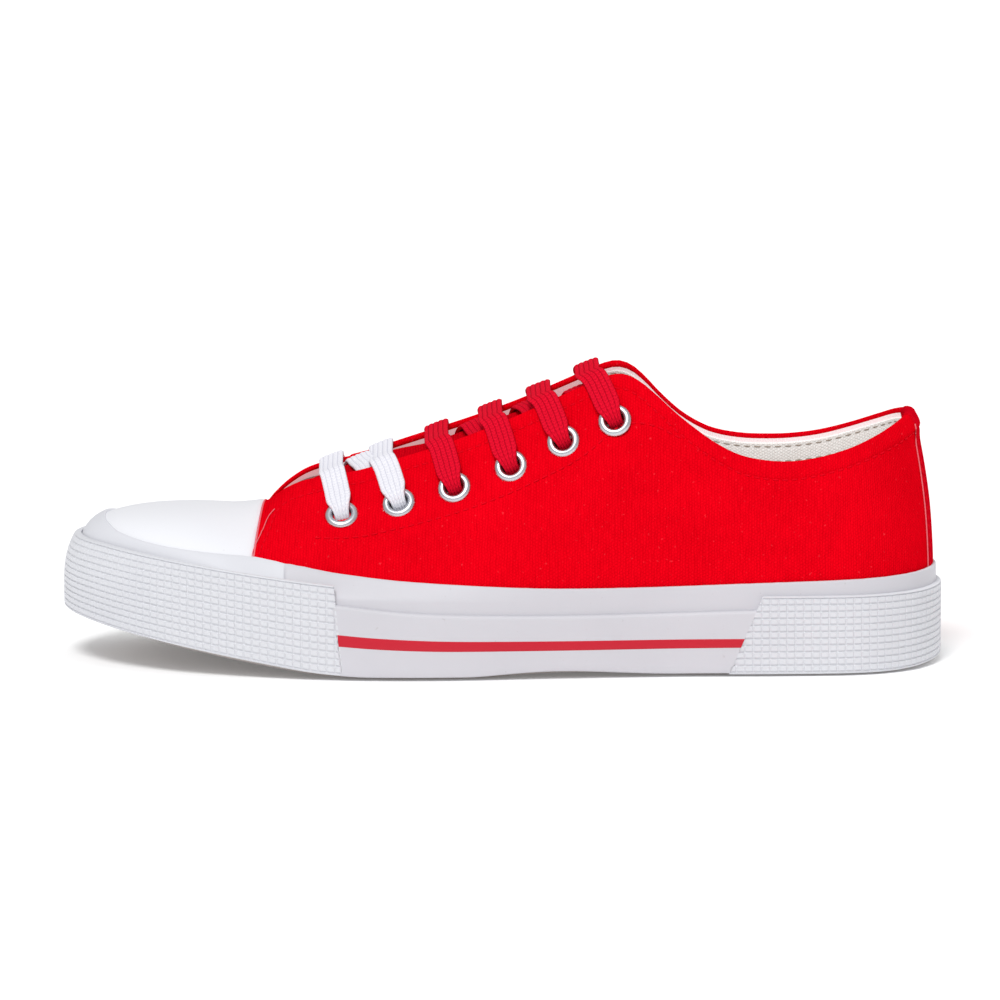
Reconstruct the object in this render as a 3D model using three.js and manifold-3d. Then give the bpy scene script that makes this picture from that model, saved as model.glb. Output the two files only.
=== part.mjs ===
// Low canvas sneaker for the left foot: red canvas upper on a white rubber sole.
// Millimetres, +Z up. The toe points towards -X and the outer (lateral) side towards -Y.
// The origin is on the ground under the middle of the shoe.
import * as THREE from 'three';
import { mergeVertices } from 'three/addons/utils/BufferGeometryUtils.js';
import Module from 'manifold-3d';

const wasm = await Module();
wasm.setup();

// Driving sizes.
const clearance = 0.3;
const bandGap = 0.45;
const canvasWall = 1.8;
const bandThickness = 1.2;
const bumperThickness = 1.4;
const toeInset = 2.8;
const tapeThickness = 1.35;
const tapeToCanvas = bandGap + bandThickness + clearance + tapeThickness;
const capThickness = 1.0;
const capGap = 0.5;
const outsoleEdge = 0.8;
const insoleThickness = 3.6;
const insoleGap = 0.6;
const insoleBevel = 0.8;
const tongueThickness = 2.0;
const tongueDrop = 1.2;
const tongueEnds = { frontX: -64, rearX: 36, frontHalf: 17, rearHalf: 24 };
const bandLift = 0.9;
const tapeLift = 0.5;
const tapeEndGap = 0.6;
const toeStripLift = 1.0;
const toePoleX = -84;
const heelPoleX = 100;
const capRearX = -75.4;
const springStartX = -38;
const springRadius = 150;
const springSlope = 0.165;
const archHeight = 1.4;
const archFrontX = -8;
const archRearX = 62;
const heelRiseX = 118;
const heelRise = 1.5;
const heelRiseLength = 18;
const groove = { width: 2.6, depth: 1.6, pitch: 9, border: 9 };
const grooveRows = [{ startX: -103.6, count: 11 }, { startX: 74.3, count: 6 }];
const eyelet = {
  flange: 5.15, barrel: 3.3, bore: 2.8, hole: 3.6, base: 0.4, height: 1.0, tail: 0.6, sides: 8,
};
const lace = { width: 8, endWidth: 5, thickness: 1.4, lift: 1.5, endLift: 2.5, rise: 0.8, steps: 10 };

// Colours.
const red = 0xee0216;
const laceRed = 0xe91126;
const white = 0xdadae0;
const capWhite = 0xf1f3f7;
const laceWhite = 0xf5f0fa;
const tan = 0xb5aeab;
const lining = 0xb5ada9;
const silver = 0xc9ccd2;

// Outermost line of the sole seen from above, from the heel round the outer side to the toe.
const outlineTable = [
  { x: 135.0, y: 0 },
  { x: 132.2, y: -14 },
  { x: 124.5, y: -25.5 },
  { x: 110, y: -33.6 },
  { x: 85, y: -36.8 },
  { x: 52, y: -39 },
  { x: 16, y: -44.5 },
  { x: -20, y: -49.2 },
  { x: -50, y: -49.4 },
  { x: -76, y: -46.2 },
  { x: -97, y: -40.6 },
  { x: -113, y: -32.6 },
  { x: -125, y: -22.4 },
  { x: -133, y: -10.5 },
  { x: -136, y: 3 },
  { x: -133.2, y: 16 },
  { x: -124.5, y: 28 },
  { x: -109, y: 38 },
  { x: -86, y: 44.7 },
  { x: -58, y: 47.9 },
  { x: -30, y: 46.4 },
  { x: -2, y: 41.2 },
  { x: 25, y: 37.2 },
  { x: 55, y: 34.6 },
  { x: 85, y: 34 },
  { x: 110, y: 31.8 },
  { x: 124.5, y: 24.8 },
  { x: 132.2, y: 13.5 },
];

// Section of the last at each place along the shoe. base is the height where the wall starts to
// curve in, side and crown say how full the section is at its side and at its top.
const lateralSections = [
  { x: -136, base: 26, side: 0.92, crown: 0.92 },
  { x: -124, base: 25.6, side: 0.9, crown: 0.88 },
  { x: -110, base: 25.2, side: 0.82, crown: 0.8 },
  { x: -97, base: 25, side: 0.72, crown: 0.7 },
  { x: -84, base: 25, side: 0.6, crown: 0.6 },
  { x: -66, base: 24.5, side: 0.25, crown: 0.38 },
  { x: -48, base: 24, side: 0.06, crown: 0.17 },
  { x: -31, base: 23.7, side: 0.05, crown: 0.23 },
  { x: -14, base: 23.5, side: 0.06, crown: 0.31 },
  { x: 3, base: 23.3, side: 0.14, crown: 0.41 },
  { x: 19, base: 23, side: 0.34, crown: 0.48 },
  { x: 35, base: 23, side: 0.54, crown: 0.52 },
  { x: 50, base: 23.3, side: 0.53, crown: 0.58 },
  { x: 65, base: 23.7, side: 0.5, crown: 0.64 },
  { x: 85, base: 24, side: 0.5, crown: 0.66 },
  { x: 105, base: 24.6, side: 0.52, crown: 0.62 },
  { x: 136, base: 26, side: 0.52, crown: 0.58 },
];
const medialSections = [
  { x: -136, base: 26, side: 0.92, crown: 0.92 },
  { x: -124, base: 25.6, side: 0.9, crown: 0.88 },
  { x: -110, base: 25.2, side: 0.82, crown: 0.8 },
  { x: -97, base: 25, side: 0.72, crown: 0.7 },
  { x: -84, base: 25, side: 0.62, crown: 0.62 },
  { x: -66, base: 24.5, side: 0.32, crown: 0.54 },
  { x: -48, base: 24, side: 0.1, crown: 0.34 },
  { x: -31, base: 23.7, side: 0.1, crown: 0.4 },
  { x: -14, base: 23.5, side: 0.14, crown: 0.46 },
  { x: 3, base: 23.3, side: 0.3, crown: 0.48 },
  { x: 19, base: 23, side: 0.47, crown: 0.52 },
  { x: 35, base: 23, side: 0.6, crown: 0.55 },
  { x: 50, base: 23.3, side: 0.55, crown: 0.6 },
  { x: 65, base: 23.7, side: 0.5, crown: 0.66 },
  { x: 85, base: 24, side: 0.5, crown: 0.68 },
  { x: 105, base: 24.6, side: 0.52, crown: 0.62 },
  { x: 136, base: 26, side: 0.52, crown: 0.58 },
];

// Centre line of the upper: its sideways place, the height of the ridge over it and half the
// width of the throat.
const spineTable = [
  { x: -84, y: 3.5, ridge: 45.0, throat: 0 },
  { x: -78, y: 3.2, ridge: 45.7, throat: 0 },
  { x: -73, y: 2.9, ridge: 47.2, throat: 0 },
  { x: -71, y: 2.8, ridge: 49.4, throat: 4 },
  { x: -66.5, y: 2.5, ridge: 54.0, throat: 7.8 },
  { x: -60, y: 2.2, ridge: 59.2, throat: 10.5 },
  { x: -48, y: 1.6, ridge: 66, throat: 12.6 },
  { x: -31, y: 0.6, ridge: 72.2, throat: 13.5 },
  { x: -14, y: -0.4, ridge: 78.5, throat: 13.8 },
  { x: 3, y: -1.2, ridge: 85, throat: 14 },
  { x: 19, y: -1.6, ridge: 91.5, throat: 14.3 },
  { x: 35, y: -1.6, ridge: 98.3, throat: 15 },
  { x: 50, y: -1.4, ridge: 103, throat: 15.6 },
  { x: 65, y: -1.0, ridge: 106, throat: 16 },
  { x: 80, y: -0.5, ridge: 108.5, throat: 16 },
  { x: 100, y: 0, ridge: 110, throat: 16 },
];

// Height of the collar's rim along the outer and the inner side. The inner side drops sooner.
const collarTable = [
  { x: 26, outer: 92.0, inner: 92.0 },
  { x: 33, outer: 92.9, inner: 92.4 },
  { x: 38, outer: 91.5, inner: 89.6 },
  { x: 43, outer: 88.2, inner: 84.8 },
  { x: 48, outer: 84.2, inner: 79.0 },
  { x: 54, outer: 79, inner: 73.2 },
  { x: 61, outer: 73.7, inner: 68.8 },
  { x: 66, outer: 70.4, inner: 67.0 },
  { x: 73, outer: 67, inner: 65.8 },
  { x: 80, outer: 65.4, inner: 65.5 },
  { x: 88, outer: 64.9, inner: 65.8 },
  { x: 97, outer: 66.1, inner: 67.1 },
  { x: 107, outer: 68.8, inner: 69.8 },
  { x: 116, outer: 72.4, inner: 73.0 },
  { x: 124, outer: 76.2, inner: 76.4 },
  { x: 130, outer: 78.2, inner: 78.2 },
];
const collarStartX = 26;
const throatEndX = 62;
const cornerBlend = 5;
const farBelow = -99;
const sliverHeight = 0.002;

// Top edges of the rubber strips, by the place of the sole's outermost line.
const stripTops = [
  { x: -136, band: 42.4, strip: 38.6, tape: 30 },
  { x: -124, band: 42.2, strip: 37.6, tape: 30 },
  { x: -110, band: 40.8, strip: 35.6, tape: 29 },
  { x: -96, band: 39.0, strip: 33.6, tape: 28 },
  { x: -76, band: 36.2, strip: 30.8, tape: 26.4 },
  { x: -60, band: 33.6, strip: 28.8, tape: 24.6 },
  { x: -48, band: 31.6, strip: 27.6, tape: 23 },
  { x: -26, band: 29.6, strip: 26, tape: 20.6 },
  { x: 9, band: 28, strip: 24.5, tape: 19.4 },
  { x: 46, band: 27.8, strip: 24.5, tape: 19.4 },
  { x: 80, band: 28.8, strip: 24.5, tape: 20.2 },
  { x: 136, band: 30.4, strip: 24.5, tape: 20.6 },
];
const toeStripEnd = { bottomX: -48.4, topX: -50 };
const heelPatchEnd = { bottomX: 69.8, topX: 80.4 };

// Eyelets of one side, front to rear: place along the shoe and distance down from the throat's
// edge. lean is how far the lace bar's middle lies in front of its ends.
const eyeletTable = [
  { x: -48.5, down: 17.4, lean: 3.4 },
  { x: -31, down: 17.4, lean: 4.6 },
  { x: -14, down: 17.4, lean: 6.2 },
  { x: 3.3, down: 17.0, lean: 8 },
  { x: 19.3, down: 16.6, lean: 9.4 },
  { x: 35, down: 16.2, lean: 10.5 },
];

// Shares from 0 to 1 in equal steps.
const evenStops = (count) => Array.from({ length: count + 1 }, (_, i) => i / count);

// Value of one column of a table at x, as a smooth curve through the rows.
function column(table, key, x) {
  const rows = table;
  const last = rows.length - 1;
  const at = Math.min(Math.max(x, rows[0].x), rows[last].x);
  let i = 0;
  while (i < last - 1 && rows[i + 1].x < at) i += 1;
  const slope = (k) => {
    const a = rows[Math.max(k - 1, 0)];
    const b = rows[Math.min(k + 1, last)];
    return (b[key] - a[key]) / (b.x - a.x);
  };
  const span = rows[i + 1].x - rows[i].x;
  const t = (at - rows[i].x) / span;
  const h = [2 * t ** 3 - 3 * t * t + 1, t ** 3 - 2 * t * t + t, 3 * t * t - 2 * t ** 3, t ** 3 - t * t];
  const start = h[0] * rows[i][key] + h[1] * span * slope(i);
  return start + h[2] * rows[i + 1][key] + h[3] * span * slope(i + 1);
}

const outlineCurve = new THREE.CatmullRomCurve3(
  outlineTable.map((row) => new THREE.Vector3(row.x, row.y, 0)), true, 'catmullrom', 0.5);
const outlinePoints = outlineCurve.getPoints(outlineTable.length * 24);

// Distance from a point inside the outline to the outline, in a level direction.
function reach(x, y, dx, dy) {
  let best = 0;
  for (let i = 0; i < outlinePoints.length - 1; i += 1) {
    const a = outlinePoints[i];
    const b = outlinePoints[i + 1];
    const ex = b.x - a.x;
    const ey = b.y - a.y;
    const cross = dx * ey - dy * ex;
    const along = ((a.x - x) * ey - (a.y - y) * ex) / cross;
    const part = ((a.x - x) * dy - (a.y - y) * dx) / cross;
    if (part > -1e-6 && part < 1 + 1e-6 && along > best) best = along;
  }
  return best;
}

// Places round the shoe run from the back of the heel (0) along the outer side (1 to 2), round
// the toe (2 to 4) and back along the inner side (4 to 5) to the heel (6).
function place(u) {
  const turn = ((u % 6) + 6) % 6;
  let angle = -Math.PI / 2;
  let x = heelPoleX;
  if (turn < 1) angle = -turn * Math.PI / 2;
  else if (turn <= 2) x = heelPoleX + (turn - 1) * (toePoleX - heelPoleX);
  else if (turn < 4) {
    x = toePoleX;
    angle = -Math.PI / 2 - (turn - 2) * Math.PI / 2;
  } else if (turn <= 5) {
    x = toePoleX + (turn - 4) * (heelPoleX - toePoleX);
    angle = Math.PI / 2;
  } else angle = (6 - turn) * Math.PI / 2;
  const dx = Math.abs(Math.cos(angle)) < 1e-9 ? 0 : Math.cos(angle);
  const dy = Math.sin(angle);
  const y = column(spineTable, 'y', x);
  const radius = reach(x, y, dx, dy);
  const rimX = x + dx * radius;
  const inner = turn >= 3;
  const table = inner ? medialSections : lateralSections;
  const toe = turn > 2 && turn < 4 ? Math.max(0, -dx) : 0;
  return {
    u: turn, x, y, dx, dy, radius, rimX, inner,
    canvas: radius - tapeToCanvas - toeInset * toe ** 1.5,
    ridge: column(spineTable, 'ridge', x),
    base: column(table, 'base', rimX),
    side: column(table, 'side', rimX),
    crown: column(table, 'crown', rimX),
    toe,
  };
}

const lateralAt = (x) => 1 + (heelPoleX - x) / (heelPoleX - toePoleX);
const medialAt = (x) => 4 + (x - toePoleX) / (heelPoleX - toePoleX);

function point(at, r, z) {
  return new THREE.Vector3(at.x + at.dx * r, at.y + at.dy * r, z);
}

// Point of the canvas's outer face in the section at one place, t from 0 at the base to 1 at the
// ridge, moved out along the section's normal.
function sectionPoint(at, t, out = 0) {
  const s = 1 - t;
  const height = at.ridge - at.base;
  const r = at.canvas * (s ** 3 + 3 * s * s * t + 3 * s * t * t * at.crown);
  const z = at.base + height * (3 * s * s * t * at.side + 3 * s * t * t + t ** 3);
  const dr = at.canvas * (6 * s * t * (at.crown - 1) - 3 * t * t * at.crown);
  const dz = height * (3 * s * s * at.side + 6 * s * t * (1 - at.side));
  const size = Math.hypot(dr, dz) || 1;
  return { r: Math.max(0, r + out * dz / size), z: z - out * dr / size };
}

function bisect(low, high, above) {
  let a = low;
  let b = high;
  for (let i = 0; i < 30; i += 1) {
    const middle = (a + b) / 2;
    if (above(middle)) b = middle;
    else a = middle;
  }
  return (a + b) / 2;
}

const sectionAtHeight = (at, z) => bisect(0, 1, (t) => sectionPoint(at, t).z > z);
const sectionAtRadius = (at, r) => bisect(0, 1, (t) => sectionPoint(at, t).r < r);

// Positive inside the opening of collar and throat.
function opening(p, inner) {
  const rim = column(collarTable, inner ? 'inner' : 'outer', p.x);
  const collar = p.x > collarStartX ? p.z - rim : farBelow;
  const half = column(spineTable, 'throat', p.x);
  const overFoot = half > 0 && p.x < throatEndX;
  const throat = overFoot ? half - Math.abs(p.y - column(spineTable, 'y', p.x)) : farBelow;
  const blend = Math.max(cornerBlend - Math.abs(collar - throat), 0) / cornerBlend;
  return Math.max(collar, throat) + blend * blend * cornerBlend / 4;
}

// Section value where the opening starts, or 1 where the section is closed.
function openingStart(at) {
  const steps = 160;
  for (let i = 1; i < steps; i += 1) {
    const open = (t) => {
      const s = sectionPoint(at, t);
      return opening(point(at, s.r, s.z), at.inner) > 0;
    };
    if (open(i / steps)) return bisect((i - 1) / steps, i / steps, open);
  }
  return 1;
}

// Underside of the sole: toe spring, arch and the slight rise at the back of the heel.
function bottom(x) {
  if (x < springStartX) {
    const d = springStartX - x;
    const bend = springRadius * springSlope;
    return d < bend ? d * d / 2 / springRadius : bend * bend / 2 / springRadius + (d - bend) * springSlope;
  }
  if (x > heelRiseX) return heelRise * ((x - heelRiseX) / heelRiseLength) ** 2;
  if (x <= archFrontX || x >= archRearX) return 0;
  return archHeight * Math.sin(Math.PI * ((x - archFrontX) / (archRearX - archFrontX)) ** 0.8) ** 2;
}

// The sole is thicker under the heel than under the toes.
const soleTop = (x) => bottom(x) + 9 + 4 * THREE.MathUtils.smoothstep(x, -40, 90);

// Outer face of the tapes and strips: upright, leaning in above the widest line at the toe.
function stripRadius(at, z) {
  const lean = z > 22 ? 4.4 * ((z - 22) / 17) ** 2.6 : 0;
  return at.radius - lean * at.toe ** 1.5;
}

const bandThicknessAt = (at) => THREE.MathUtils.lerp(bandThickness, bumperThickness, at.toe);

// Radius of the band's outer face at a height.
function bandOuter(at, z) {
  const out = bandGap + bandThicknessAt(at);
  if (z <= at.base) return at.canvas + out;
  return sectionPoint(at, bisect(0, 1, (t) => sectionPoint(at, t, out).z > z), out).r;
}

function solidFrom(points, faces) {
  const flat = new THREE.BufferGeometry();
  const positions = [];
  for (const face of faces) {
    for (const index of face) positions.push(points[index].x, points[index].y, points[index].z);
  }
  flat.setAttribute('position', new THREE.Float32BufferAttribute(positions, 3));
  const merged = mergeVertices(flat, 1e-4);
  const index = [];
  const source = merged.index.array;
  for (let i = 0; i < source.length; i += 3) {
    const [a, b, c] = [source[i], source[i + 1], source[i + 2]];
    if (a !== b && b !== c && c !== a) index.push(a, b, c);
  }
  merged.setIndex(index);
  return merged;
}

// Solid through sections placed one after another, each a list of points of the same length.
// loop joins a section's last point to its first, ring joins the last section to the first one,
// and ends closes the first and last sections.
function loft(sections, { loop = true, ring = true, ends = false, skip = () => false } = {}) {
  const size = sections[0].length;
  const points = sections.flat();
  const faces = [];
  const quad = (a, b, c, d) => faces.push([a, b, c], [a, c, d]);
  const spans = ring ? sections.length : sections.length - 1;
  for (let i = 0; i < spans; i += 1) {
    const k = (i + 1) % sections.length;
    for (let j = 0; j < (loop ? size : size - 1); j += 1) {
      const m = (j + 1) % size;
      if (!skip(i, k, j)) quad(i * size + j, k * size + j, k * size + m, i * size + m);
    }
  }
  if (ends) {
    for (let j = 0; j < size / 2 - 1; j += 1) {
      const m = size - 1 - j;
      quad(j, j + 1, m - 1, m);
      const from = (sections.length - 1) * size;
      quad(from + j + 1, from + j, from + m, from + m - 1);
    }
  }
  return solidFrom(points, faces);
}

function manifoldOf(geometry) {
  const clean = geometry.clone();
  for (const name of Object.keys(clean.attributes)) {
    if (name !== 'position') clean.deleteAttribute(name);
  }
  const merged = mergeVertices(clean, 1e-4);
  return new wasm.Manifold(new wasm.Mesh({
    numProp: 3,
    vertProperties: new Float32Array(merged.attributes.position.array),
    triVerts: new Uint32Array(merged.index.array),
  }));
}

function geometryOf(manifold) {
  const mesh = manifold.getMesh();
  const geometry = new THREE.BufferGeometry();
  geometry.setAttribute('position', new THREE.BufferAttribute(mesh.vertProperties, 3));
  geometry.setIndex(new THREE.BufferAttribute(mesh.triVerts, 1));
  return geometry;
}

// Turns the edge between a triangle whose corners lie in one line and its neighbour.
function flipSliver(faces, points) {
  for (let i = 0; i < faces.length; i += 1) {
    for (let k = 0; k < 3; k += 1) {
      const [a, b, c] = [faces[i][k], faces[i][(k + 1) % 3], faces[i][(k + 2) % 3]];
      const side = points[b].clone().sub(points[a]);
      const arm = points[c].clone().sub(points[a]);
      const share = arm.dot(side) / side.lengthSq();
      const height = side.clone().cross(arm).length() / side.length();
      if (height > sliverHeight || share < 0 || share > 1) continue;
      const m = faces.findIndex((f) => [0, 1, 2].some((j) => f[j] === b && f[(j + 1) % 3] === a));
      const d = faces[m].find((v) => v !== a && v !== b);
      faces[i] = [a, d, c];
      faces[m] = [d, b, c];
      return true;
    }
  }
  return false;
}

function cut(geometry, cutters) {
  let solid = manifoldOf(geometry);
  for (const cutter of cutters) solid = solid.subtract(manifoldOf(cutter));
  const merged = mergeVertices(geometryOf(solid), 0.01);
  const position = merged.attributes.position;
  const points = Array.from({ length: position.count }, (_, i) => new THREE.Vector3().fromBufferAttribute(position, i));
  const faces = [];
  const source = merged.index.array;
  for (let i = 0; i < source.length; i += 3) {
    const face = [source[i], source[i + 1], source[i + 2]];
    if (new Set(face).size === 3) faces.push(face);
  }
  for (let left = 200; left > 0 && flipSliver(faces, points); left -= 1);
  merged.setIndex(faces.flat());
  return merged;
}

// Places of the sections along one side, front to rear, closer round the front of the throat.
const frontStops = [-79.5, -75.4, -73.4, -72, -70.4, -68, -64, -59];
const rearStops = Array.from({ length: 15 }, (_, i) => -53 + 10.2 * i);
const sideStops = [...frontStops, ...rearStops];
const toeSteps = 12;
const heelSteps = 5;

function fullRing() {
  const ring = [];
  for (let i = 0; i <= heelSteps; i += 1) ring.push(i / heelSteps);
  for (const x of [...sideStops].reverse()) ring.push(lateralAt(x));
  for (let i = 0; i <= toeSteps; i += 1) ring.push(2 + 2 * i / toeSteps);
  for (const x of sideStops) ring.push(medialAt(x));
  for (let i = 0; i < heelSteps; i += 1) ring.push(5 + i / heelSteps);
  return ring;
}

const ring = fullRing().map(place);

// Section values of the rows of facets: up to the band's top edge, and from there to the top.
const bandRows = 3;
const wallRows = 5;
const bandTop = (at) => sectionAtHeight(at, column(stripTops, 'band', at.rimX));
const rowsBelow = (at) => evenStops(bandRows).map((f) => f * bandTop(at));

function rowsAbove(at, top) {
  return evenStops(wallRows).slice(1).map((f) => THREE.MathUtils.lerp(bandTop(at), top, f));
}

function upperGeometry() {
  const sections = ring.map((at) => {
    const foot = soleTop(at.rimX) + clearance;
    const top = openingStart(at);
    const outer = [point(at, at.canvas, foot)];
    const inner = [point(at, at.canvas - canvasWall, foot)];
    for (const t of [...rowsBelow(at), ...rowsAbove(at, top)]) {
      const a = sectionPoint(at, t);
      const b = sectionPoint(at, t, -canvasWall);
      outer.push(point(at, a.r, a.z));
      inner.push(point(at, b.r, b.z));
    }
    return Object.assign([...inner.reverse(), ...outer], { closed: top === 1 });
  });
  const size = sections[0].length;
  const shell = loft(sections, {
    skip: (i, k, j) => j === size - 1 && sections[i].closed && sections[k].closed,
  });
  return cut(shell, eyelets.map(({ frame }) => placed(
    new THREE.CylinderGeometry(eyelet.hole, eyelet.hole, 12, eyelet.sides), frame)));
}

// Frame on the canvas's outer face: origin on it, Y along its outward normal.
function surfaceFrame(u, t) {
  const here = place(u);
  const a = sectionPoint(here, t);
  const origin = point(here, a.r, a.z);
  const b = sectionPoint(here, t + 0.01);
  const up = point(here, b.r, b.z).sub(origin);
  const beside = place(u + 0.01);
  const c = sectionPoint(beside, t);
  const along = point(beside, c.r, c.z).sub(origin);
  const normal = up.clone().cross(along).normalize();
  if (normal.z < 0) normal.negate();
  const side = along.clone().addScaledVector(normal, -along.dot(normal)).normalize();
  const third = side.clone().cross(normal).normalize();
  return new THREE.Matrix4().makeBasis(side, normal, third).setPosition(origin);
}

function placed(geometry, frame) {
  return geometry.applyMatrix4(frame);
}

// Section value reached by going a distance down the canvas from the edge of the opening.
function downFromEdge(at, distance) {
  let t = openingStart(at);
  let last = sectionPoint(at, t);
  let gone = 0;
  while (gone < distance) {
    t -= 0.002;
    const next = sectionPoint(at, t);
    gone += Math.hypot(next.r - last.r, next.z - last.z);
    last = next;
  }
  return t;
}

const eyelets = ['lateral', 'medial'].flatMap((side) => eyeletTable.map((row, i) => {
  const u = side === 'lateral' ? lateralAt(row.x) : medialAt(row.x);
  const t = downFromEdge(place(u), row.down);
  return { name: `eyelet_${side}_${i + 1}`, row, u, t, frame: surfaceFrame(u, t) };
}));

function eyeletGeometry(frame) {
  const foot = -canvasWall - eyelet.tail;
  const profile = [
    [eyelet.bore, foot],
    [eyelet.barrel, foot],
    [eyelet.barrel, eyelet.base],
    [eyelet.flange, eyelet.base],
    [eyelet.flange - 0.5, eyelet.height - 0.1],
    [eyelet.barrel + 0.3, eyelet.height],
    [eyelet.bore, eyelet.base],
    [eyelet.bore, foot],
  ].map(([r, y]) => new THREE.Vector2(r, y));
  return placed(new THREE.LatheGeometry(profile, eyelet.sides), frame);
}

function outsoleGeometry() {
  const sections = ring.map((at) => {
    const side = at.canvas;
    const low = (r) => point(at, r, bottom(at.x + at.dx * r));
    const high = (r) => point(at, r, soleTop(at.x + at.dx * r));
    return [
      low(0),
      low(0.6 * side),
      low(side - outsoleEdge),
      point(at, side, bottom(at.x + at.dx * side) + outsoleEdge),
      high(side),
      high(0.6 * side),
      high(0),
    ];
  });
  return cut(loft(sections, { loop: false }), grooveCutters());
}

// Grooves across the tread leave a row of bars under the forefoot and under the heel.
function grooveCutters() {
  const edge = (x, side) => reach(x, column(spineTable, 'y', x), 0, side) - tapeToCanvas - groove.border;
  return grooveRows.flatMap(({ startX, count }) => Array.from({ length: count }, (_, i) => {
    const x = startX + i * groove.pitch;
    const width = edge(x, -1) + edge(x, 1);
    const middle = column(spineTable, 'y', x) + (edge(x, 1) - edge(x, -1)) / 2;
    return new THREE.BoxGeometry(groove.width, width, 2 * groove.depth).translate(x, middle, bottom(x));
  }));
}

function insoleGeometry() {
  const sections = ring.map((at) => {
    const side = at.canvas - canvasWall - insoleGap;
    const level = (r, rise) => point(at, r, soleTop(at.x + at.dx * r) + clearance + rise);
    return [
      level(0, 0),
      level(0.6 * side, 0),
      level(side, 0),
      level(side, insoleThickness - insoleBevel),
      level(side - insoleBevel, insoleThickness),
      level(0.6 * side, insoleThickness),
      level(0, insoleThickness),
    ];
  });
  return loft(sections, { loop: false });
}

function toeCapGeometry() {
  const low = clearance;
  const high = clearance + capThickness;
  const [from, to] = [lateralAt(capRearX) - 1e-6, medialAt(capRearX) + 1e-6];
  const sections = ring.filter((at) => at.u >= from && at.u <= to).map((at) => {
    const start = sectionAtHeight(at, column(stripTops, 'band', at.rimX) + capGap);
    const row = (out) => [start, ...rowsAbove(at, 1)].map((t) => {
      const s = sectionPoint(at, t, out);
      return point(at, s.r, s.z);
    });
    return [...row(low).reverse(), ...row(high)];
  });
  const size = sections[0].length;
  return loft(sections, { ring: false, ends: true, skip: (i, k, j) => j === size - 1 });
}

function bandGeometry() {
  const sections = ring.map((at) => {
    const foot = bottom(at.rimX) + bandLift;
    const row = (t, out) => {
      const s = sectionPoint(at, t, out);
      return point(at, s.r, s.z);
    };
    const rows = rowsBelow(at);
    const thickness = bandThicknessAt(at);
    return [
      point(at, at.canvas + bandGap + thickness, foot),
      ...rows.map((t) => row(t, bandGap + thickness)),
      ...rows.reverse().map((t) => row(t, bandGap)),
      point(at, at.canvas + bandGap, foot),
    ];
  });
  return loft(sections);
}

// Strip of rubber outside the band between two slanted ends. startAt and endAt give the place
// round the shoe for a height, topOf the strip's top edge and lift its height over the ground.
function stripGeometry({ startAt, endAt, topOf, lift, stops }) {
  const rows = [0, 0.05, 0.5, 0.8, 0.96, 1];
  const round = [0.7, 0, 0, 0, 0, 0.7];
  const sections = stops.map((f) => {
    const corner = (share) => {
      const at = place(THREE.MathUtils.lerp(startAt(share), endAt(share), f));
      const foot = bottom(at.rimX) + lift;
      return { at, foot, top: topOf(at), z: THREE.MathUtils.lerp(foot, topOf(at), share) };
    };
    const outer = rows.map((share, k) => {
      const { at, z } = corner(share);
      return point(at, stripRadius(at, z) - round[k], z);
    });
    const { at: middle, foot, top } = corner(0.5);
    const bend = THREE.MathUtils.clamp((middle.base - foot) / (top - foot), 0.5, 0.95);
    const inner = [0, ...evenStops(4).map((v) => THREE.MathUtils.lerp(bend, 1, v))];
    const back = inner.map((share) => {
      const { at, z } = corner(share);
      return point(at, bandOuter(at, z) + clearance, z);
    });
    return [...outer, ...back.reverse()];
  });
  return loft(sections, { ring: false, ends: true });
}

// A strip's own stops fall on the ring's places, so that neighbours keep their clearance.
function stopsBetween(start, end) {
  const unwrapped = ring.map((at) => (at.u < start ? at.u + 6 : at.u));
  const within = unwrapped.filter((u) => u > start + 0.01 && u < end - 0.01).sort((a, b) => a - b);
  return [start, ...within, end].map((u) => (u - start) / (end - start));
}

function toeStripGeometry() {
  const xAt = (f) => THREE.MathUtils.lerp(toeStripEnd.bottomX, toeStripEnd.topX, f);
  return stripGeometry({
    startAt: (f) => lateralAt(xAt(f)),
    endAt: (f) => medialAt(xAt(f)),
    topOf: (at) => column(stripTops, 'strip', at.rimX),
    lift: toeStripLift,
    stops: stopsBetween(lateralAt(toeStripEnd.bottomX), medialAt(toeStripEnd.bottomX)),
  });
}

const patchX = (f) => THREE.MathUtils.lerp(heelPatchEnd.bottomX, heelPatchEnd.topX, f);

function heelPatchGeometry() {
  return stripGeometry({
    startAt: (f) => medialAt(patchX(f)),
    endAt: (f) => 6 + lateralAt(patchX(f)),
    topOf: (at) => column(stripTops, 'strip', at.rimX),
    lift: tapeLift,
    stops: stopsBetween(medialAt(heelPatchEnd.bottomX), 6 + lateralAt(heelPatchEnd.bottomX)),
  });
}

// The tape stops short of the toe strip in front and of the heel patch's slanted edge behind.
function tapeGeometry(inner) {
  const toPlace = inner ? medialAt : lateralAt;
  const tapeShare = 0.8;
  const rear = (f) => patchX(f * tapeShare) - tapeEndGap;
  const front = () => toeStripEnd.bottomX + tapeEndGap;
  const start = inner ? (f) => toPlace(front(f)) : (f) => toPlace(rear(f));
  const end = inner ? (f) => toPlace(rear(f)) : (f) => toPlace(front(f));
  return stripGeometry({
    startAt: start,
    endAt: end,
    topOf: (at) => column(stripTops, 'tape', at.rimX),
    lift: tapeLift,
    stops: stopsBetween(start(0), end(0)),
  });
}

// Height of the canvas's outer face over a point beside the centre line.
function canvasHeight(x, offset) {
  const at = place(offset < 0 ? lateralAt(x) : medialAt(x));
  return sectionPoint(at, sectionAtRadius(at, Math.abs(offset))).z;
}

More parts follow.
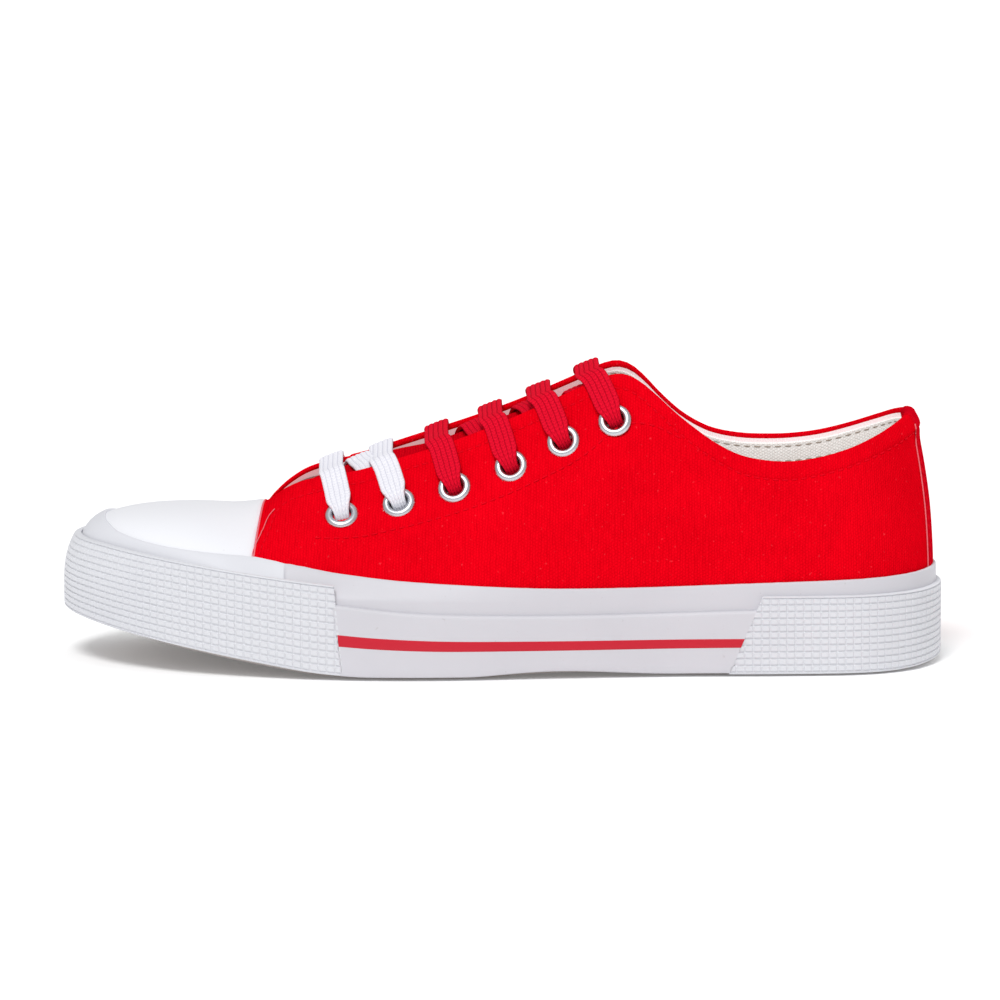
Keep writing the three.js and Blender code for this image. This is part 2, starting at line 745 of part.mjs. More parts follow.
function tongueGeometry() {
  const { frontX, rearX, frontHalf, rearHalf } = tongueEnds;
  const sections = evenStops(11).map((f) => {
    const x = THREE.MathUtils.lerp(frontX, rearX, f);
    const half = THREE.MathUtils.lerp(frontHalf, rearHalf, Math.sqrt(f));
    const sink = 0.8 * column(spineTable, 'throat', x);
    const top = evenStops(8).map((share) => {
      const offset = (2 * share - 1) * half;
      const reachOut = Math.sign(offset || 1) * Math.hypot(offset, sink);
      const z = canvasHeight(x, reachOut) - canvasWall - tongueDrop;
      return new THREE.Vector3(x, column(spineTable, 'y', x) + offset, z);
    });
    const under = top.map((p) => p.clone().setZ(p.z - tongueThickness));
    return [...top, ...under.reverse()];
  });
  return loft(sections, { ring: false, ends: true });
}

// Route of a lace bar over the throat from the outer eyelet to the inner one.
function laceRoute(index) {
  const row = eyeletTable[index];
  const ends = [eyelets[index], eyelets[index + eyeletTable.length]];
  const tops = ends.map((end) => sectionPoint(place(end.u), end.t));
  return evenStops(lace.steps).map((f) => {
    const offset = THREE.MathUtils.lerp(-tops[0].r, tops[1].r, f);
    const full = offset < 0 ? tops[0].r : tops[1].r;
    const x = row.x - row.lean * (1 - (offset / full) ** 2);
    const half = column(spineTable, 'throat', x) - 0.5;
    const within = Math.abs(offset) < half;
    const edge = THREE.MathUtils.lerp(canvasHeight(x, -half), canvasHeight(x, half),
      (offset + half) / (2 * half));
    const z = within ? edge + lace.rise * (1 - (offset / half) ** 2) : canvasHeight(x, offset);
    return new THREE.Vector3(x, column(spineTable, 'y', x) + offset, z);
  });
}

function laceBarGeometry(index) {
  const route = laceRoute(index);
  const sections = route.map((p, i) => {
    const before = route[Math.max(i - 1, 0)];
    const after = route[Math.min(i + 1, route.length - 1)];
    const ahead = after.clone().sub(before).normalize();
    const lean = new THREE.Vector3(1, 0, 0.4);
    const across = lean.addScaledVector(ahead, -lean.dot(ahead)).normalize();
    const out = ahead.clone().cross(across).normalize();
    if (out.z < 0) out.negate();
    const fromEnd = Math.min(i, route.length - 1 - i);
    const half = THREE.MathUtils.lerp(lace.endWidth, lace.width, Math.min(1, fromEnd / 2.5)) / 2;
    const lift = THREE.MathUtils.lerp(lace.endLift, lace.lift, Math.min(1, fromEnd / 3.3));
    const middle = p.clone().addScaledVector(out, lift);
    const hexagon = [[-1, 0], [-0.8, 1], [0.8, 1], [1, 0], [0.8, -1], [-0.8, -1]];
    return hexagon.map(([a, b]) => middle.clone()
      .addScaledVector(across, a * half)
      .addScaledVector(out, b * lace.thickness / 2));
  });
  return loft(sections, { ring: false, ends: true });
}

// Solid turned the right way out, on a mesh with its name and material.
function piece(name, geometry, color, roughness, metalness = 0) {
  const solid = signedVolume(geometry) < 0 ? flipped(geometry) : geometry;
  solid.computeVertexNormals();
  const material = new THREE.MeshStandardMaterial({ color, roughness, metalness });
  const mesh = new THREE.Mesh(solid, material);
  mesh.name = name;
  return mesh;
}

function signedVolume(geometry) {
  const p = geometry.attributes.position;
  const index = geometry.index.array;
  const corner = (i) => new THREE.Vector3().fromBufferAttribute(p, index[i]);
  let volume = 0;
  for (let i = 0; i < index.length; i += 3) {
    volume += corner(i).dot(corner(i + 1).cross(corner(i + 2))) / 6;
  }
  return volume;
}

function flipped(geometry) {
  const index = Array.from(geometry.index.array);
  for (let i = 0; i < index.length; i += 3) [index[i], index[i + 1]] = [index[i + 1], index[i]];
  geometry.setIndex(index);
  return geometry;
}

const sneaker = new THREE.Group();
sneaker.add(piece('outsole', outsoleGeometry(), tan, 0.85));
sneaker.add(piece('insole', insoleGeometry(), lining, 0.95));
sneaker.add(piece('upper', upperGeometry(), red, 0.9));
sneaker.add(piece('tongue', tongueGeometry(), red, 0.9));
sneaker.add(piece('toe_cap', toeCapGeometry(), capWhite, 0.45));
sneaker.add(piece('foxing_band', bandGeometry(), white, 0.6));
sneaker.add(piece('foxing_tape_lateral', tapeGeometry(false), white, 0.6));
sneaker.add(piece('foxing_tape_medial', tapeGeometry(true), white, 0.6));
sneaker.add(piece('toe_strip', toeStripGeometry(), white, 0.65));
sneaker.add(piece('heel_patch', heelPatchGeometry(), white, 0.65));
for (const { name, frame } of eyelets) sneaker.add(piece(name, eyeletGeometry(frame), silver, 0.25, 1));
for (let i = 0; i < eyeletTable.length; i += 1) {
  const color = i < 2 ? laceWhite : laceRed;
  sneaker.add(piece(`lace_bar_${i + 1}`, laceBarGeometry(i), color, 0.9));
}

export default sneaker;
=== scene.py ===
import math
from bisect import bisect_right
from functools import lru_cache
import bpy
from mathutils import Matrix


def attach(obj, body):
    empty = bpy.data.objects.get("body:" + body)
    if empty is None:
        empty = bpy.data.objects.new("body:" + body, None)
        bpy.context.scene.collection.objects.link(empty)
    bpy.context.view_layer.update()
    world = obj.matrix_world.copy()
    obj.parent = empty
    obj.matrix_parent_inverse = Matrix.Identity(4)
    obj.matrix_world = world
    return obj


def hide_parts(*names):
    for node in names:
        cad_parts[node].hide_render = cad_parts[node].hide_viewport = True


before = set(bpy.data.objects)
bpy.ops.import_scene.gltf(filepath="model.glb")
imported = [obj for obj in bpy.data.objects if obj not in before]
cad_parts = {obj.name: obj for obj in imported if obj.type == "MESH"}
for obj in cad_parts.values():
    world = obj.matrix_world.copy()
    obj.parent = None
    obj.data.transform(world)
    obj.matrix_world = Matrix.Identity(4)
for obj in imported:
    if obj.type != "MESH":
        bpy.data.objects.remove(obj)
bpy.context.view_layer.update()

from types import SimpleNamespace

import bmesh
import bpy
import numpy as np
from mathutils import Matrix, Vector, noise

# Sizes are in millimetres until a mesh is made, and every mesh is in metres.
mm = 0.001
scene = bpy.context.scene
collection = scene.collection


# ---- the last: the same shape that the solids have ----

class Table:
    # smooth curves through named columns over x
    def __init__(self, stops, **columns):
        self.stops = stops
        self.columns = {}
        last = len(stops) - 1
        for name, values in columns.items():
            near = [(max(i - 1, 0), min(i + 1, last)) for i in range(last + 1)]
            slopes = [(values[b] - values[a]) / (stops[b] - stops[a]) for a, b in near]
            self.columns[name] = (values, slopes)

    def at(self, name, x):
        values, slopes = self.columns[name]
        x = min(max(x, self.stops[0]), self.stops[-1])
        i = min(max(bisect_right(self.stops, x) - 1, 0), len(self.stops) - 2)
        span = self.stops[i + 1] - self.stops[i]
        t = (x - self.stops[i]) / span
        low = (2 * t ** 3 - 3 * t * t + 1) * values[i] + (t ** 3 - 2 * t * t + t) * span * slopes[i]
        return low + (3 * t * t - 2 * t ** 3) * values[i + 1] + (t ** 3 - t * t) * span * slopes[i + 1]


shoe = dict(
    clearance=0.3, bandGap=0.45, bandThickness=1.2, bumperThickness=1.4, canvasWall=1.8,
    tapeThickness=1.35, toeInset=2.8, toePoleX=-84, heelPoleX=100, springStartX=-38,
    springRadius=150, springSlope=0.165, archHeight=1.4, archFrontX=-8, archRearX=62,
    heelRiseX=118, heelRise=1.5, heelRiseLength=18, insoleThickness=3.6,
    collarStartX=26, throatEndX=62, cornerBlend=5, rimRound=1.0,
)
tapeToCanvas = shoe["bandGap"] + shoe["bandThickness"] + shoe["clearance"] + shoe["tapeThickness"]

outline = dict(
    x=[135.0, 132.2, 124.5, 110, 85, 52, 16, -20, -50, -76, -97, -113, -125, -133,
       -136, -133.2, -124.5, -109, -86, -58, -30, -2, 25, 55, 85, 110, 124.5, 132.2],
    y=[0, -14, -25.5, -33.6, -36.8, -39, -44.5, -49.2, -49.4, -46.2, -40.6, -32.6, -22.4, -10.5,
       3, 16, 28, 38, 44.7, 47.9, 46.4, 41.2, 37.2, 34.6, 34, 31.8, 24.8, 13.5],
)
sectionX = [-136, -124, -110, -97, -84, -66, -48, -31, -14, 3, 19, 35, 50, 65, 85, 105, 136]
sectionBase = [26, 25.6, 25.2, 25, 25, 24.5, 24, 23.7, 23.5, 23.3, 23, 23, 23.3, 23.7, 24, 24.6, 26]
lateralSections = Table(
    sectionX, base=sectionBase,
    side=[.92, .9, .82, .72, .6, .25, .06, .05, .06, .14, .34, .54, .53, .5, .5, .52, .52],
    crown=[.92, .88, .8, .7, .6, .38, .17, .23, .31, .41, .48, .52, .58, .64, .66, .62, .58],
)
medialSections = Table(
    sectionX, base=sectionBase,
    side=[.92, .9, .82, .72, .62, .32, .1, .1, .14, .3, .47, .6, .55, .5, .5, .52, .52],
    crown=[.92, .88, .8, .7, .62, .54, .34, .4, .46, .48, .52, .55, .6, .66, .68, .62, .58],
)
spine = Table(
    [-84, -78, -73, -71, -66.5, -60, -48, -31, -14, 3, 19, 35, 50, 65, 80, 100],
    y=[3.5, 3.2, 2.9, 2.8, 2.5, 2.2, 1.6, .6, -.4, -1.2, -1.6, -1.6, -1.4, -1.0, -.5, 0],
    ridge=[45.0, 45.7, 47.2, 49.4, 54.0, 59.2, 66, 72.2, 78.5, 85, 91.5, 98.3, 103, 106, 108.5, 110],
    throat=[0, 0, 0, 4, 7.8, 10.5, 12.6, 13.5, 13.8, 14, 14.3, 15, 15.6, 16, 16, 16],
)
collar = Table(
    [26, 33, 38, 43, 48, 54, 61, 66, 73, 80, 88, 97, 107, 116, 124, 130],
    outer=[92.0, 92.9, 91.5, 88.2, 84.2, 79, 73.7, 70.4, 67, 65.4, 64.9, 66.1, 68.8, 72.4, 76.2, 78.2],
    inner=[92.0, 92.4, 89.6, 84.8, 79.0, 73.2, 68.8, 67.0, 65.8, 65.5, 65.8, 67.1, 69.8, 73.0, 76.4, 78.2],
)
stripTops = Table(
    [-136, -124, -110, -96, -76, -60, -48, -26, 9, 46, 80, 136],
    band=[42.4, 42.2, 40.8, 39.0, 36.2, 33.6, 31.6, 29.6, 28, 27.8, 28.8, 30.4],
    strip=[37.6, 37.2, 36.0, 34.5, 32.0, 30.1, 28.8, 26, 24.5, 24.5, 24.5, 24.5],
    tape=[30, 30, 29, 28, 26.4, 24.6, 23, 20.6, 19.4, 19.4, 20.2, 20.6],
)


def curveBetween(a, b, c, d, t):
    # a smooth curve from b to c, with a before them and d after
    return 0.5 * (2 * b + (c - a) * t + (2 * a - 5 * b + 4 * c - d) * t * t
                  + (3 * b - a - 3 * c + d) * t ** 3)


def closedCurve(xs, ys, steps):
    # smooth closed curve through the points
    given = np.array([xs, ys], float).T
    count = len(given)
    return np.array([curveBetween(*(given[(i + k) % count] for k in (-1, 0, 1, 2)), t)
                     for i in range(count) for t in np.arange(steps) / steps])


outlinePoints = closedCurve(outline["x"], outline["y"], 24)
outlineEdges = np.roll(outlinePoints, -1, axis=0) - outlinePoints


def reach(x, y, dx, dy):
    cross = dx * outlineEdges[:, 1] - dy * outlineEdges[:, 0]
    cross = np.where(np.abs(cross) < 1e-12, 1e-12, cross)
    offX, offY = outlinePoints[:, 0] - x, outlinePoints[:, 1] - y
    along = (offX * outlineEdges[:, 1] - offY * outlineEdges[:, 0]) / cross
    part = (offX * dy - offY * dx) / cross
    return float(along[(part > -1e-6) & (part < 1 + 1e-6)].max())


@lru_cache(maxsize=None)
def place(u):
    # places run from the heel (0) along the outer side (1 to 2), round the toe (2 to 4)
    # and back along the inner side (4 to 5) to the heel (6)
    toe, heel = shoe["toePoleX"], shoe["heelPoleX"]
    turn = u % 6
    angle, x = -math.pi / 2, heel
    if turn < 1:
        angle = -turn * math.pi / 2
    elif turn <= 2:
        x = heel + (turn - 1) * (toe - heel)
    elif turn < 4:
        x = toe
        angle = -math.pi / 2 - (turn - 2) * math.pi / 2
    elif turn <= 5:
        x = toe + (turn - 4) * (heel - toe)
        angle = math.pi / 2
    else:
        angle = (6 - turn) * math.pi / 2
    dx = 0.0 if abs(math.cos(angle)) < 1e-9 else math.cos(angle)
    dy = math.sin(angle)
    y = spine.at("y", x)
    radius = reach(x, y, dx, dy)
    rimX = x + dx * radius
    inner = turn >= 3
    table = medialSections if inner else lateralSections
    atToe = max(0.0, -dx) if 2 < turn < 4 else 0.0
    return SimpleNamespace(
        u=u, x=x, y=y, dx=dx, dy=dy, radius=radius, rimX=rimX, inner=inner, toe=atToe,
        canvas=radius - tapeToCanvas - shoe["toeInset"] * atToe ** 1.5,
        ridge=spine.at("ridge", x), base=table.at("base", rimX),
        side=table.at("side", rimX), crown=table.at("crown", rimX),
    )


sideLength = shoe["heelPoleX"] - shoe["toePoleX"]


def lateralAt(x):
    return 1 + (shoe["heelPoleX"] - x) / sideLength


def medialAt(x):
    return 4 + (x - shoe["toePoleX"]) / sideLength


def point(at, r, z):
    return Vector((at.x + at.dx * r, at.y + at.dy * r, z))


def sectionPoint(at, t, out=0.0):
    s = 1 - t
    height = at.ridge - at.base
    r = at.canvas * (s ** 3 + 3 * s * s * t + 3 * s * t * t * at.crown)
    z = at.base + height * (3 * s * s * t * at.side + 3 * s * t * t + t ** 3)
    dr = at.canvas * (6 * s * t * (at.crown - 1) - 3 * t * t * at.crown)
    dz = height * (3 * s * s * at.side + 6 * s * t * (1 - at.side))
    size = math.hypot(dr, dz) or 1
    return max(0.0, r + out * dz / size), z - out * dr / size


def onSection(at, t, out=0.0):
    return point(at, *sectionPoint(at, t, out))


def sectionNormal(at, t):
    r0, z0 = sectionPoint(at, t)
    r1, z1 = sectionPoint(at, t, 1.0)
    return r1 - r0, z1 - z0


def bisect(low, high, above, steps=22):
    for _ in range(steps):
        middle = (low + high) / 2
        if above(middle):
            high = middle
        else:
            low = middle
    return (low + high) / 2


def sectionAtHeight(at, z):
    return bisect(0, 1, lambda t: sectionPoint(at, t)[1] > z)


def sectionAtRadius(at, r):
    return bisect(0, 1, lambda t: sectionPoint(at, t)[0] < r)


def opening(p, inner):
    # positive inside the opening of collar and throat
    rim = collar.at("inner" if inner else "outer", p.x)
    overCollar = p.z - rim if p.x > shoe["collarStartX"] else -99
    half = spine.at("throat", p.x)
    overFoot = half > 0 and p.x < shoe["throatEndX"]
    overThroat = half - abs(p.y - spine.at("y", p.x)) if overFoot else -99
    blend = max(shoe["cornerBlend"] - abs(overCollar - overThroat), 0) / shoe["cornerBlend"]
    return max(overCollar, overThroat) + blend * blend * shoe["cornerBlend"] / 4


@lru_cache(maxsize=None)
def openingStart(u):
    at = place(u)

    def isOpen(t):
        return opening(onSection(at, t), at.inner) > -shoe["rimRound"]

    steps = 80
    for i in range(1, steps):
        if isOpen(i / steps):
            return bisect((i - 1) / steps, i / steps, isOpen, 14)
    return 1.0


def bottom(x):
    if x < shoe["springStartX"]:
        d = shoe["springStartX"] - x
        bend = shoe["springRadius"] * shoe["springSlope"]
        if d < bend:
            return d * d / 2 / shoe["springRadius"]
        return bend * bend / 2 / shoe["springRadius"] + (d - bend) * shoe["springSlope"]
    if x > shoe["heelRiseX"]:
        return shoe["heelRise"] * ((x - shoe["heelRiseX"]) / shoe["heelRiseLength"]) ** 2
    if x <= shoe["archFrontX"] or x >= shoe["archRearX"]:
        return 0.0
    share = (x - shoe["archFrontX"]) / (shoe["archRearX"] - shoe["archFrontX"])
    return shoe["archHeight"] * math.sin(math.pi * share ** 0.8) ** 2


def smooth(x, low, high):
    t = min(max((x - low) / (high - low), 0), 1)
    return t * t * (3 - 2 * t)


def lerp(a, b, f):
    return a + (b - a) * f


def soleTop(x):
    return bottom(x) + 9 + 4 * smooth(x, -40, 90)


def stripRadius(at, z):
    lean = 4.4 * ((z - 22) / 17) ** 2.6 if z > 22 else 0
    return at.radius - lean * at.toe ** 1.5


def bandThicknessAt(at):
    return lerp(shoe["bandThickness"], shoe["bumperThickness"], at.toe)


def runsOf(points):
    # running lengths along a path
    return np.concatenate([[0], np.cumsum([(b - a).length for a, b in zip(points, points[1:])])])


# lengths along the outline, over two turns
turns = np.arange(0, 12.001, 0.004)
outlineRun = runsOf([point(place(u), place(u).radius, 0) for u in np.round(turns, 6)])


def runTo(u):
    return float(np.interp(u, turns, outlineRun))


def placeAtRun(run):
    return place(round(float(np.interp(run, outlineRun, turns)), 6))


def placesBetween(start, end, pitch):
    # places at equal steps along the outline
    count = max(1, round((runTo(end) - runTo(start)) / pitch))
    runs = np.linspace(runTo(start), runTo(end), count + 1)
    return [round(float(v), 6) for v in np.interp(runs, outlineRun, turns)]


# ---- mesh making ----

def meshOf(name, bm):
    mesh = bpy.data.meshes.new(name)
    bm.to_mesh(mesh)
    bm.free()
    return mesh


def addObject(name, data):
    made = bpy.data.objects.new(name, data)
    collection.objects.link(made)
    return made


def newPiece(name, bm, materials, replaced=()):
    mesh = meshOf(name, bm)
    for material in materials:
        mesh.materials.append(material)
    piece = addObject(name, mesh)
    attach(piece, "root")
    if replaced:
        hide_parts(*replaced)


def gridOf(rings, wrap=False, closed=False, uvs=None, paint=None, drop=None, sharpAt=40):
    # a grid of one column for each ring, moved onto the rings' points
    columns, rows = len(rings), len(rings[0])
    across, up = columns - 1 + wrap, rows - 1 + closed
    bm = bmesh.new()
    bmesh.ops.create_grid(bm, x_segments=across, y_segments=up, size=0.5)
    spots = {}
    for v in bm.verts:
        i, j = round((v.co.x + 0.5) * across), round((v.co.y + 0.5) * up)
        spots[v] = (i, j)
        v.co = rings[i % columns][j % rows] * mm
    if uvs is None:
        uvs = lengthsOf(rings, wrap, closed)
    layer = bm.loops.layers.uv.new("cloth")
    gone = []
    for face in bm.faces:
        corner = (min(spots[v][0] for v in face.verts), min(spots[v][1] for v in face.verts))
        face.smooth = True
        if paint:
            face.material_index = paint(*corner)
        if drop and drop(*corner):
            gone.append(face)
        for loop in face.loops:
            i, j = spots[loop.vert]
            loop[layer].uv = uvs[i][j]
    if gone:
        bmesh.ops.delete(bm, geom=gone, context="FACES")
    bmesh.ops.remove_doubles(bm, verts=bm.verts, dist=1e-6)
    bmesh.ops.dissolve_degenerate(bm, edges=bm.edges, dist=1e-7)
    bmesh.ops.holes_fill(bm, edges=[e for e in bm.edges if e.is_boundary], sides=0)
    bmesh.ops.recalc_face_normals(bm, faces=bm.faces)
    for edge in bm.edges:
        if edge.is_manifold and edge.calc_face_angle(0) > math.radians(sharpAt):
            edge.smooth = False
    return bm


def lengthsOf(rings, wrap, closed):
    # running lengths along the columns and up each ring
    columns, rows = len(rings), len(rings[0])
    guide = rows // 4
    along = [0.0]
    for i in range(1, columns + wrap):
        step = rings[i % columns][guide] - rings[i - 1][guide]
        along.append(along[-1] + step.length)
    made = []
    for i, run in enumerate(along):
        ring = rings[i % columns]
        column = [(run, 0.0)]
        for j in range(1, rows + closed):
            column.append((run, column[-1][1] + (ring[j % rows] - ring[j - 1]).length))
        made.append(column)
    return made


def headingAt(path, k):
    return (path[min(k + 1, len(path) - 1)] - path[max(k - 1, 0)]).normalized()


def frameAt(origin, x, y, z):
    # from a small piece's own axes in millimetres to its place in metres
    basis = Matrix((x, y, z)).transposed().to_4x4()
    basis.translation = origin
    return Matrix.Scale(mm, 4) @ basis


def tube(bm, path, radius, sides=6):
    # a round thread along a path
    rings = []
    for k, p in enumerate(path):
        ahead = headingAt(path, k)
        across = ahead.cross(Vector((0, 0, 1)))
        across = across.normalized() if across.length > 1e-4 else Vector((1, 0, 0))
        up = across.cross(ahead)
        rings.append([p + radius * (math.cos(a) * across + math.sin(a) * up)
                      for a in (2 * math.pi * s / sides for s in range(sides))])
    mesh = meshOf("part", gridOf(rings, closed=True, sharpAt=80))
    bm.from_mesh(mesh)
    bpy.data.meshes.remove(mesh)


# ---- materials ----

def srgb(value):
    parts = [(value >> shift & 255) / 255 for shift in (16, 8, 0)]
    return tuple(c / 12.92 if c <= 0.04045 else ((c + 0.055) / 1.055) ** 2.4 for c in parts) + (1.0,)


class Look:
    # one material, and short ways to add its nodes; each gives the new node's output
    def __init__(self, name):
        self.material = bpy.data.materials.new(name)
        self.material.use_nodes = True
        self.tree = self.material.node_tree

    def fill(self, node, inputs):
        for key, value in inputs.items():
            if isinstance(value, bpy.types.NodeSocket):
                self.tree.links.new(value, node.inputs[key])
            else:
                node.inputs[key].default_value = value

    def add(self, kind, inputs, output=0, **settings):
        made = self.tree.nodes.new("ShaderNode" + kind)
        for name, value in settings.items():
            setattr(made, name, value)
        self.fill(made, inputs)
        return made.outputs[output]

    def calc(self, operation, *values):
        return self.add("Math", dict(enumerate(values)), operation=operation)

    def wave(self, angle):
        return self.calc("ABSOLUTE", self.calc("SINE", angle))

    def scaled(self, vector, factors):
        return self.add("VectorMath", {0: vector, 1: factors}, operation="MULTIPLY")

    def parts(self, vector):
        return self.add("SeparateXYZ", {0: vector}).node.outputs[:2]

    def cloud(self, where, scale, detail, output=0):
        return self.add("TexNoise", {"Vector": where, "Scale": scale, "Detail": detail}, output)

    def ramp(self, value, low, high, start=0.0, end=1.0):
        return self.add("MapRange", {"Value": value, "From Min": low, "From Max": high,
                                     "To Min": start, "To Max": end})

    def blend(self, factor, a, b):
        a, b = (srgb(c) if isinstance(c, int) else c for c in (a, b))
        return self.add("Mix", {"Factor": factor, "A": a, "B": b}, "Result", data_type="RGBA")

    def bump(self, height, strength, depth):
        return self.add("Bump", {"Height": height, "Strength": strength, "Distance": depth * mm})

    def cloth(self):
        return self.add("UVMap", {}, uv_map="cloth")

    def body(self):
        return self.add("TexCoord", {}, "Object")

    def done(self, color, rough, **inputs):
        # "Specular IOR Level" is given as Specular_IOR_Level, and so on
        named = {key.replace("_", " "): value for key, value in inputs.items()}
        self.fill(self.tree.nodes["Principled BSDF"], {"Base Color": color, "Roughness": rough, **named})
        return self.material


def wovenCotton(name, color, dark, light, pitch, depth, speck=0.5, glow=0.0):
    # plain-woven cotton: upright ribs crossed by staggered weft, with slubs and stray light fibres
    # glow is light of its own, which real cotton has not: 0 is the true value, and the cloths inside
    # the collar have more, set for this studio's lamps; in other light it is best set to 0
    look = Look(name)
    uv = look.cloth()
    wobble = look.cloud(uv, 0.35, 2.0, "Color")
    shifted = look.add("VectorMath", {0: uv, 1: wobble}, operation="ADD")
    along, up = look.parts(look.scaled(shifted, (1 / pitch, 1 / pitch, 1)))
    rib = look.wave(look.calc("MULTIPLY", along, math.pi))
    stagger = look.calc("MULTIPLY", look.calc("FLOOR", along), math.pi / 2)
    weft = look.wave(look.calc("MULTIPLY_ADD", up, math.pi * 0.8, stagger))
    height = look.calc("MULTIPLY", rib, look.calc("MULTIPLY_ADD", weft, 0.85, 0.15))
    slub = look.cloud(look.scaled(uv, (1.1, 0.22, 1)), 1.0, 3.0)
    # painted shade: the dark colour follows the weave's height, so the hollows between threads are darker;
    # slubs and broad patches add random tone
    tone = look.calc("MULTIPLY_ADD", height, 0.55, slub)
    tone = look.calc("MULTIPLY_ADD", look.cloud(uv, 0.045, 3.0), 0.7, tone)
    weaveWithHollowShade = look.blend(look.ramp(tone, 0.65, 1.5), dark, color)
    speckle = look.ramp(look.cloud(uv, 0.75, 4.0), 0.66, 0.76, 0.0, speck)
    relief = look.calc("MULTIPLY_ADD", slub, 0.5, height)
    return look.done(look.blend(speckle, weaveWithHollowShade, light), 1.0, Normal=look.bump(relief, 1.0, depth),
                     Specular_IOR_Level=0.0, Emission_Color=srgb(color), Emission_Strength=glow)


def mouldedRubber(name, color, shadeColor, rough, grain, scuffs=0.0, specular=0.4):
    # moulded rubber: an even colour, soft low grain from the mould, light smudges where it is handled
    look = Look(name)
    where = look.body()
    fine, broad = look.cloud(where, 900.0, 4.0), look.cloud(where, 35.0, 5.0)
    base = look.blend(look.ramp(broad, 0.45, 0.75, 0.0, 0.55), color, shadeColor)
    fleck = look.ramp(look.cloud(where, 650.0, 2.0), 0.72, 0.8, 0.0, scuffs)
    gloss = look.ramp(broad, 0.0, 1.0, rough - 0.06, rough + 0.08)
    return look.done(look.blend(fleck, base, 0x9c9794), gloss,
                     Normal=look.bump(fine, 0.6, grain), Specular_IOR_Level=specular)


def spunThread(name, color, dark):
    # twisted sewing thread: fine light and dark turns along each stitch
    look = Look(name)
    twist = look.cloud(look.body(), 2500.0, 1.0)
    return look.done(look.blend(twist, dark, color), 0.9, Specular_IOR_Level=0.05)


def braidedLace(name, color, dark, grooveShadeColor):
    # flat-braided cotton lace: ribs and chevrons are in the mesh, and the gaps between ribs are painted dark
    # as shade so that they look deep; colour and bump share one tone, so the low strands are painted darker
    # too
    look = Look(name)
    uv = look.cloth()
    along, across = look.parts(uv)
    grooveShadeMask = look.ramp(look.wave(look.calc("MULTIPLY", across, math.pi)), 0.0, 0.45, 1.0, 0.0)
    strand = look.calc("MULTIPLY_ADD", look.calc("PINGPONG", across, 0.5), 1.6, along)
    strand = look.calc("SINE", look.calc("MULTIPLY", strand, 2 * math.pi / 1.3))
    fibre = look.cloud(look.scaled(uv, (1.2, 2.5, 1)), 1.6, 4.0)
    tone = look.calc("MULTIPLY_ADD", strand, 0.1, fibre)
    mixed = look.blend(look.ramp(tone, 0.25, 0.65), dark, color)
    return look.done(look.blend(look.calc("MULTIPLY", grooveShadeMask, 0.75), mixed, grooveShadeColor), 0.95,
                     Normal=look.bump(tone, 1.0, 0.2), Specular_IOR_Level=0.03)


def platedNickel(name):
    # polished nickel plate: bright, with a soft haze of uneven roughness
    look = Look(name)
    return look.done(srgb(0xcdd0d6), look.ramp(look.cloud(look.body(), 800.0, 3.0), 0.0, 1.0, 0.3, 0.4),
                     Metallic=1.0)


redCanvas = wovenCotton("redCottonDuck", 0xef0318, 0xd20010, 0xff4450, pitch=0.87, depth=0.15, speck=0.45)
redBinding = wovenCotton("redCottonTape", 0xe2081f, 0xb80014, 0xf04c56, pitch=0.7, depth=0.12, speck=0.3)
# the tongue is the same red duck as the upper, painted darker: painted shade for the shadow it lies in under
# the laces
tongueCanvasPaintedShade = wovenCotton("redTongueDuckPaintedShade", 0xd80418, 0xb0000f, 0xe8383c, pitch=0.87, depth=0.14, speck=0.3)
liningCanvas = wovenCotton("naturalLiningCotton", 0xf4f1ee, 0xdcd7d2, 0xffffff, pitch=0.6, depth=0.1,
                           speck=0.3, glow=0.08)
facingCanvas = wovenCotton("paleFacingCotton", 0xf4e4e6, 0xe8d4d6, 0xffffff, pitch=0.6, depth=0.1,
                           speck=0.3, glow=0.42)
liningTape = wovenCotton("naturalCottonTape", 0xf4f2f0, 0xdfdad6, 0xffffff, pitch=0.8, depth=0.14,
                         speck=0.3, glow=0.2)
sockCanvas = wovenCotton("naturalSockCotton", 0xe4dfda, 0xcdc7c0, 0xf8f6f4, pitch=0.7, depth=0.1, speck=0.3)
foxingRubber = mouldedRubber("whiteFoxingRubber", 0xcbcad0, 0xc6c5cb, rough=0.5, grain=0.03, scuffs=0.3)
stripRubber = mouldedRubber("whiteMouldedStripRubber", 0xd6d7dc, 0xd0d1d7, rough=0.5, grain=0.02, scuffs=0.1)
# the toe bumper's white rubber is partly its own, partly painted light: lighter than the foxing for the light
# that falls on the upward-facing toe
bumperRubberWithPaintedLight = mouldedRubber("whiteBumperRubberWithPaintedLight", 0xd7d8de, 0xd3d4da, rough=0.45, grain=0.02, scuffs=0.15)
capRubber = mouldedRubber("whiteToeCapRubber", 0xebecf1, 0xe7e8ee, rough=0.38, grain=0.015, scuffs=0.1,
                          specular=0.5)
stripeRubber = mouldedRubber("redLineRubber", 0xc40a28, 0xbc0824, rough=0.5, grain=0.02)
soleRubber = mouldedRubber("naturalGumRubber", 0xa8a09c, 0x968e8a, rough=0.7, grain=0.05, scuffs=0.3)
redThread = spunThread("redSewingThread", 0xec0620, 0xcc0012)
paleThread = spunThread("paleSewingThread", 0xf4868f, 0xe0606c)
brownThread = spunThread("undyedSewingThread", 0xb9ada2, 0x9a8d82)
# the last colour of each lace is painted shade for the gaps between its ribs
whiteLace = braidedLace("whiteBraidedCotton", 0xf0eff5, 0xdcdce6, 0xc4c4d2)
redLace = braidedLace("redBraidedCotton", 0xea1230, 0xbe0820, 0x860014)
nickel = platedNickel("nickelPlatedBrass")
print("materials made")


# ---- camera, light and floor ----

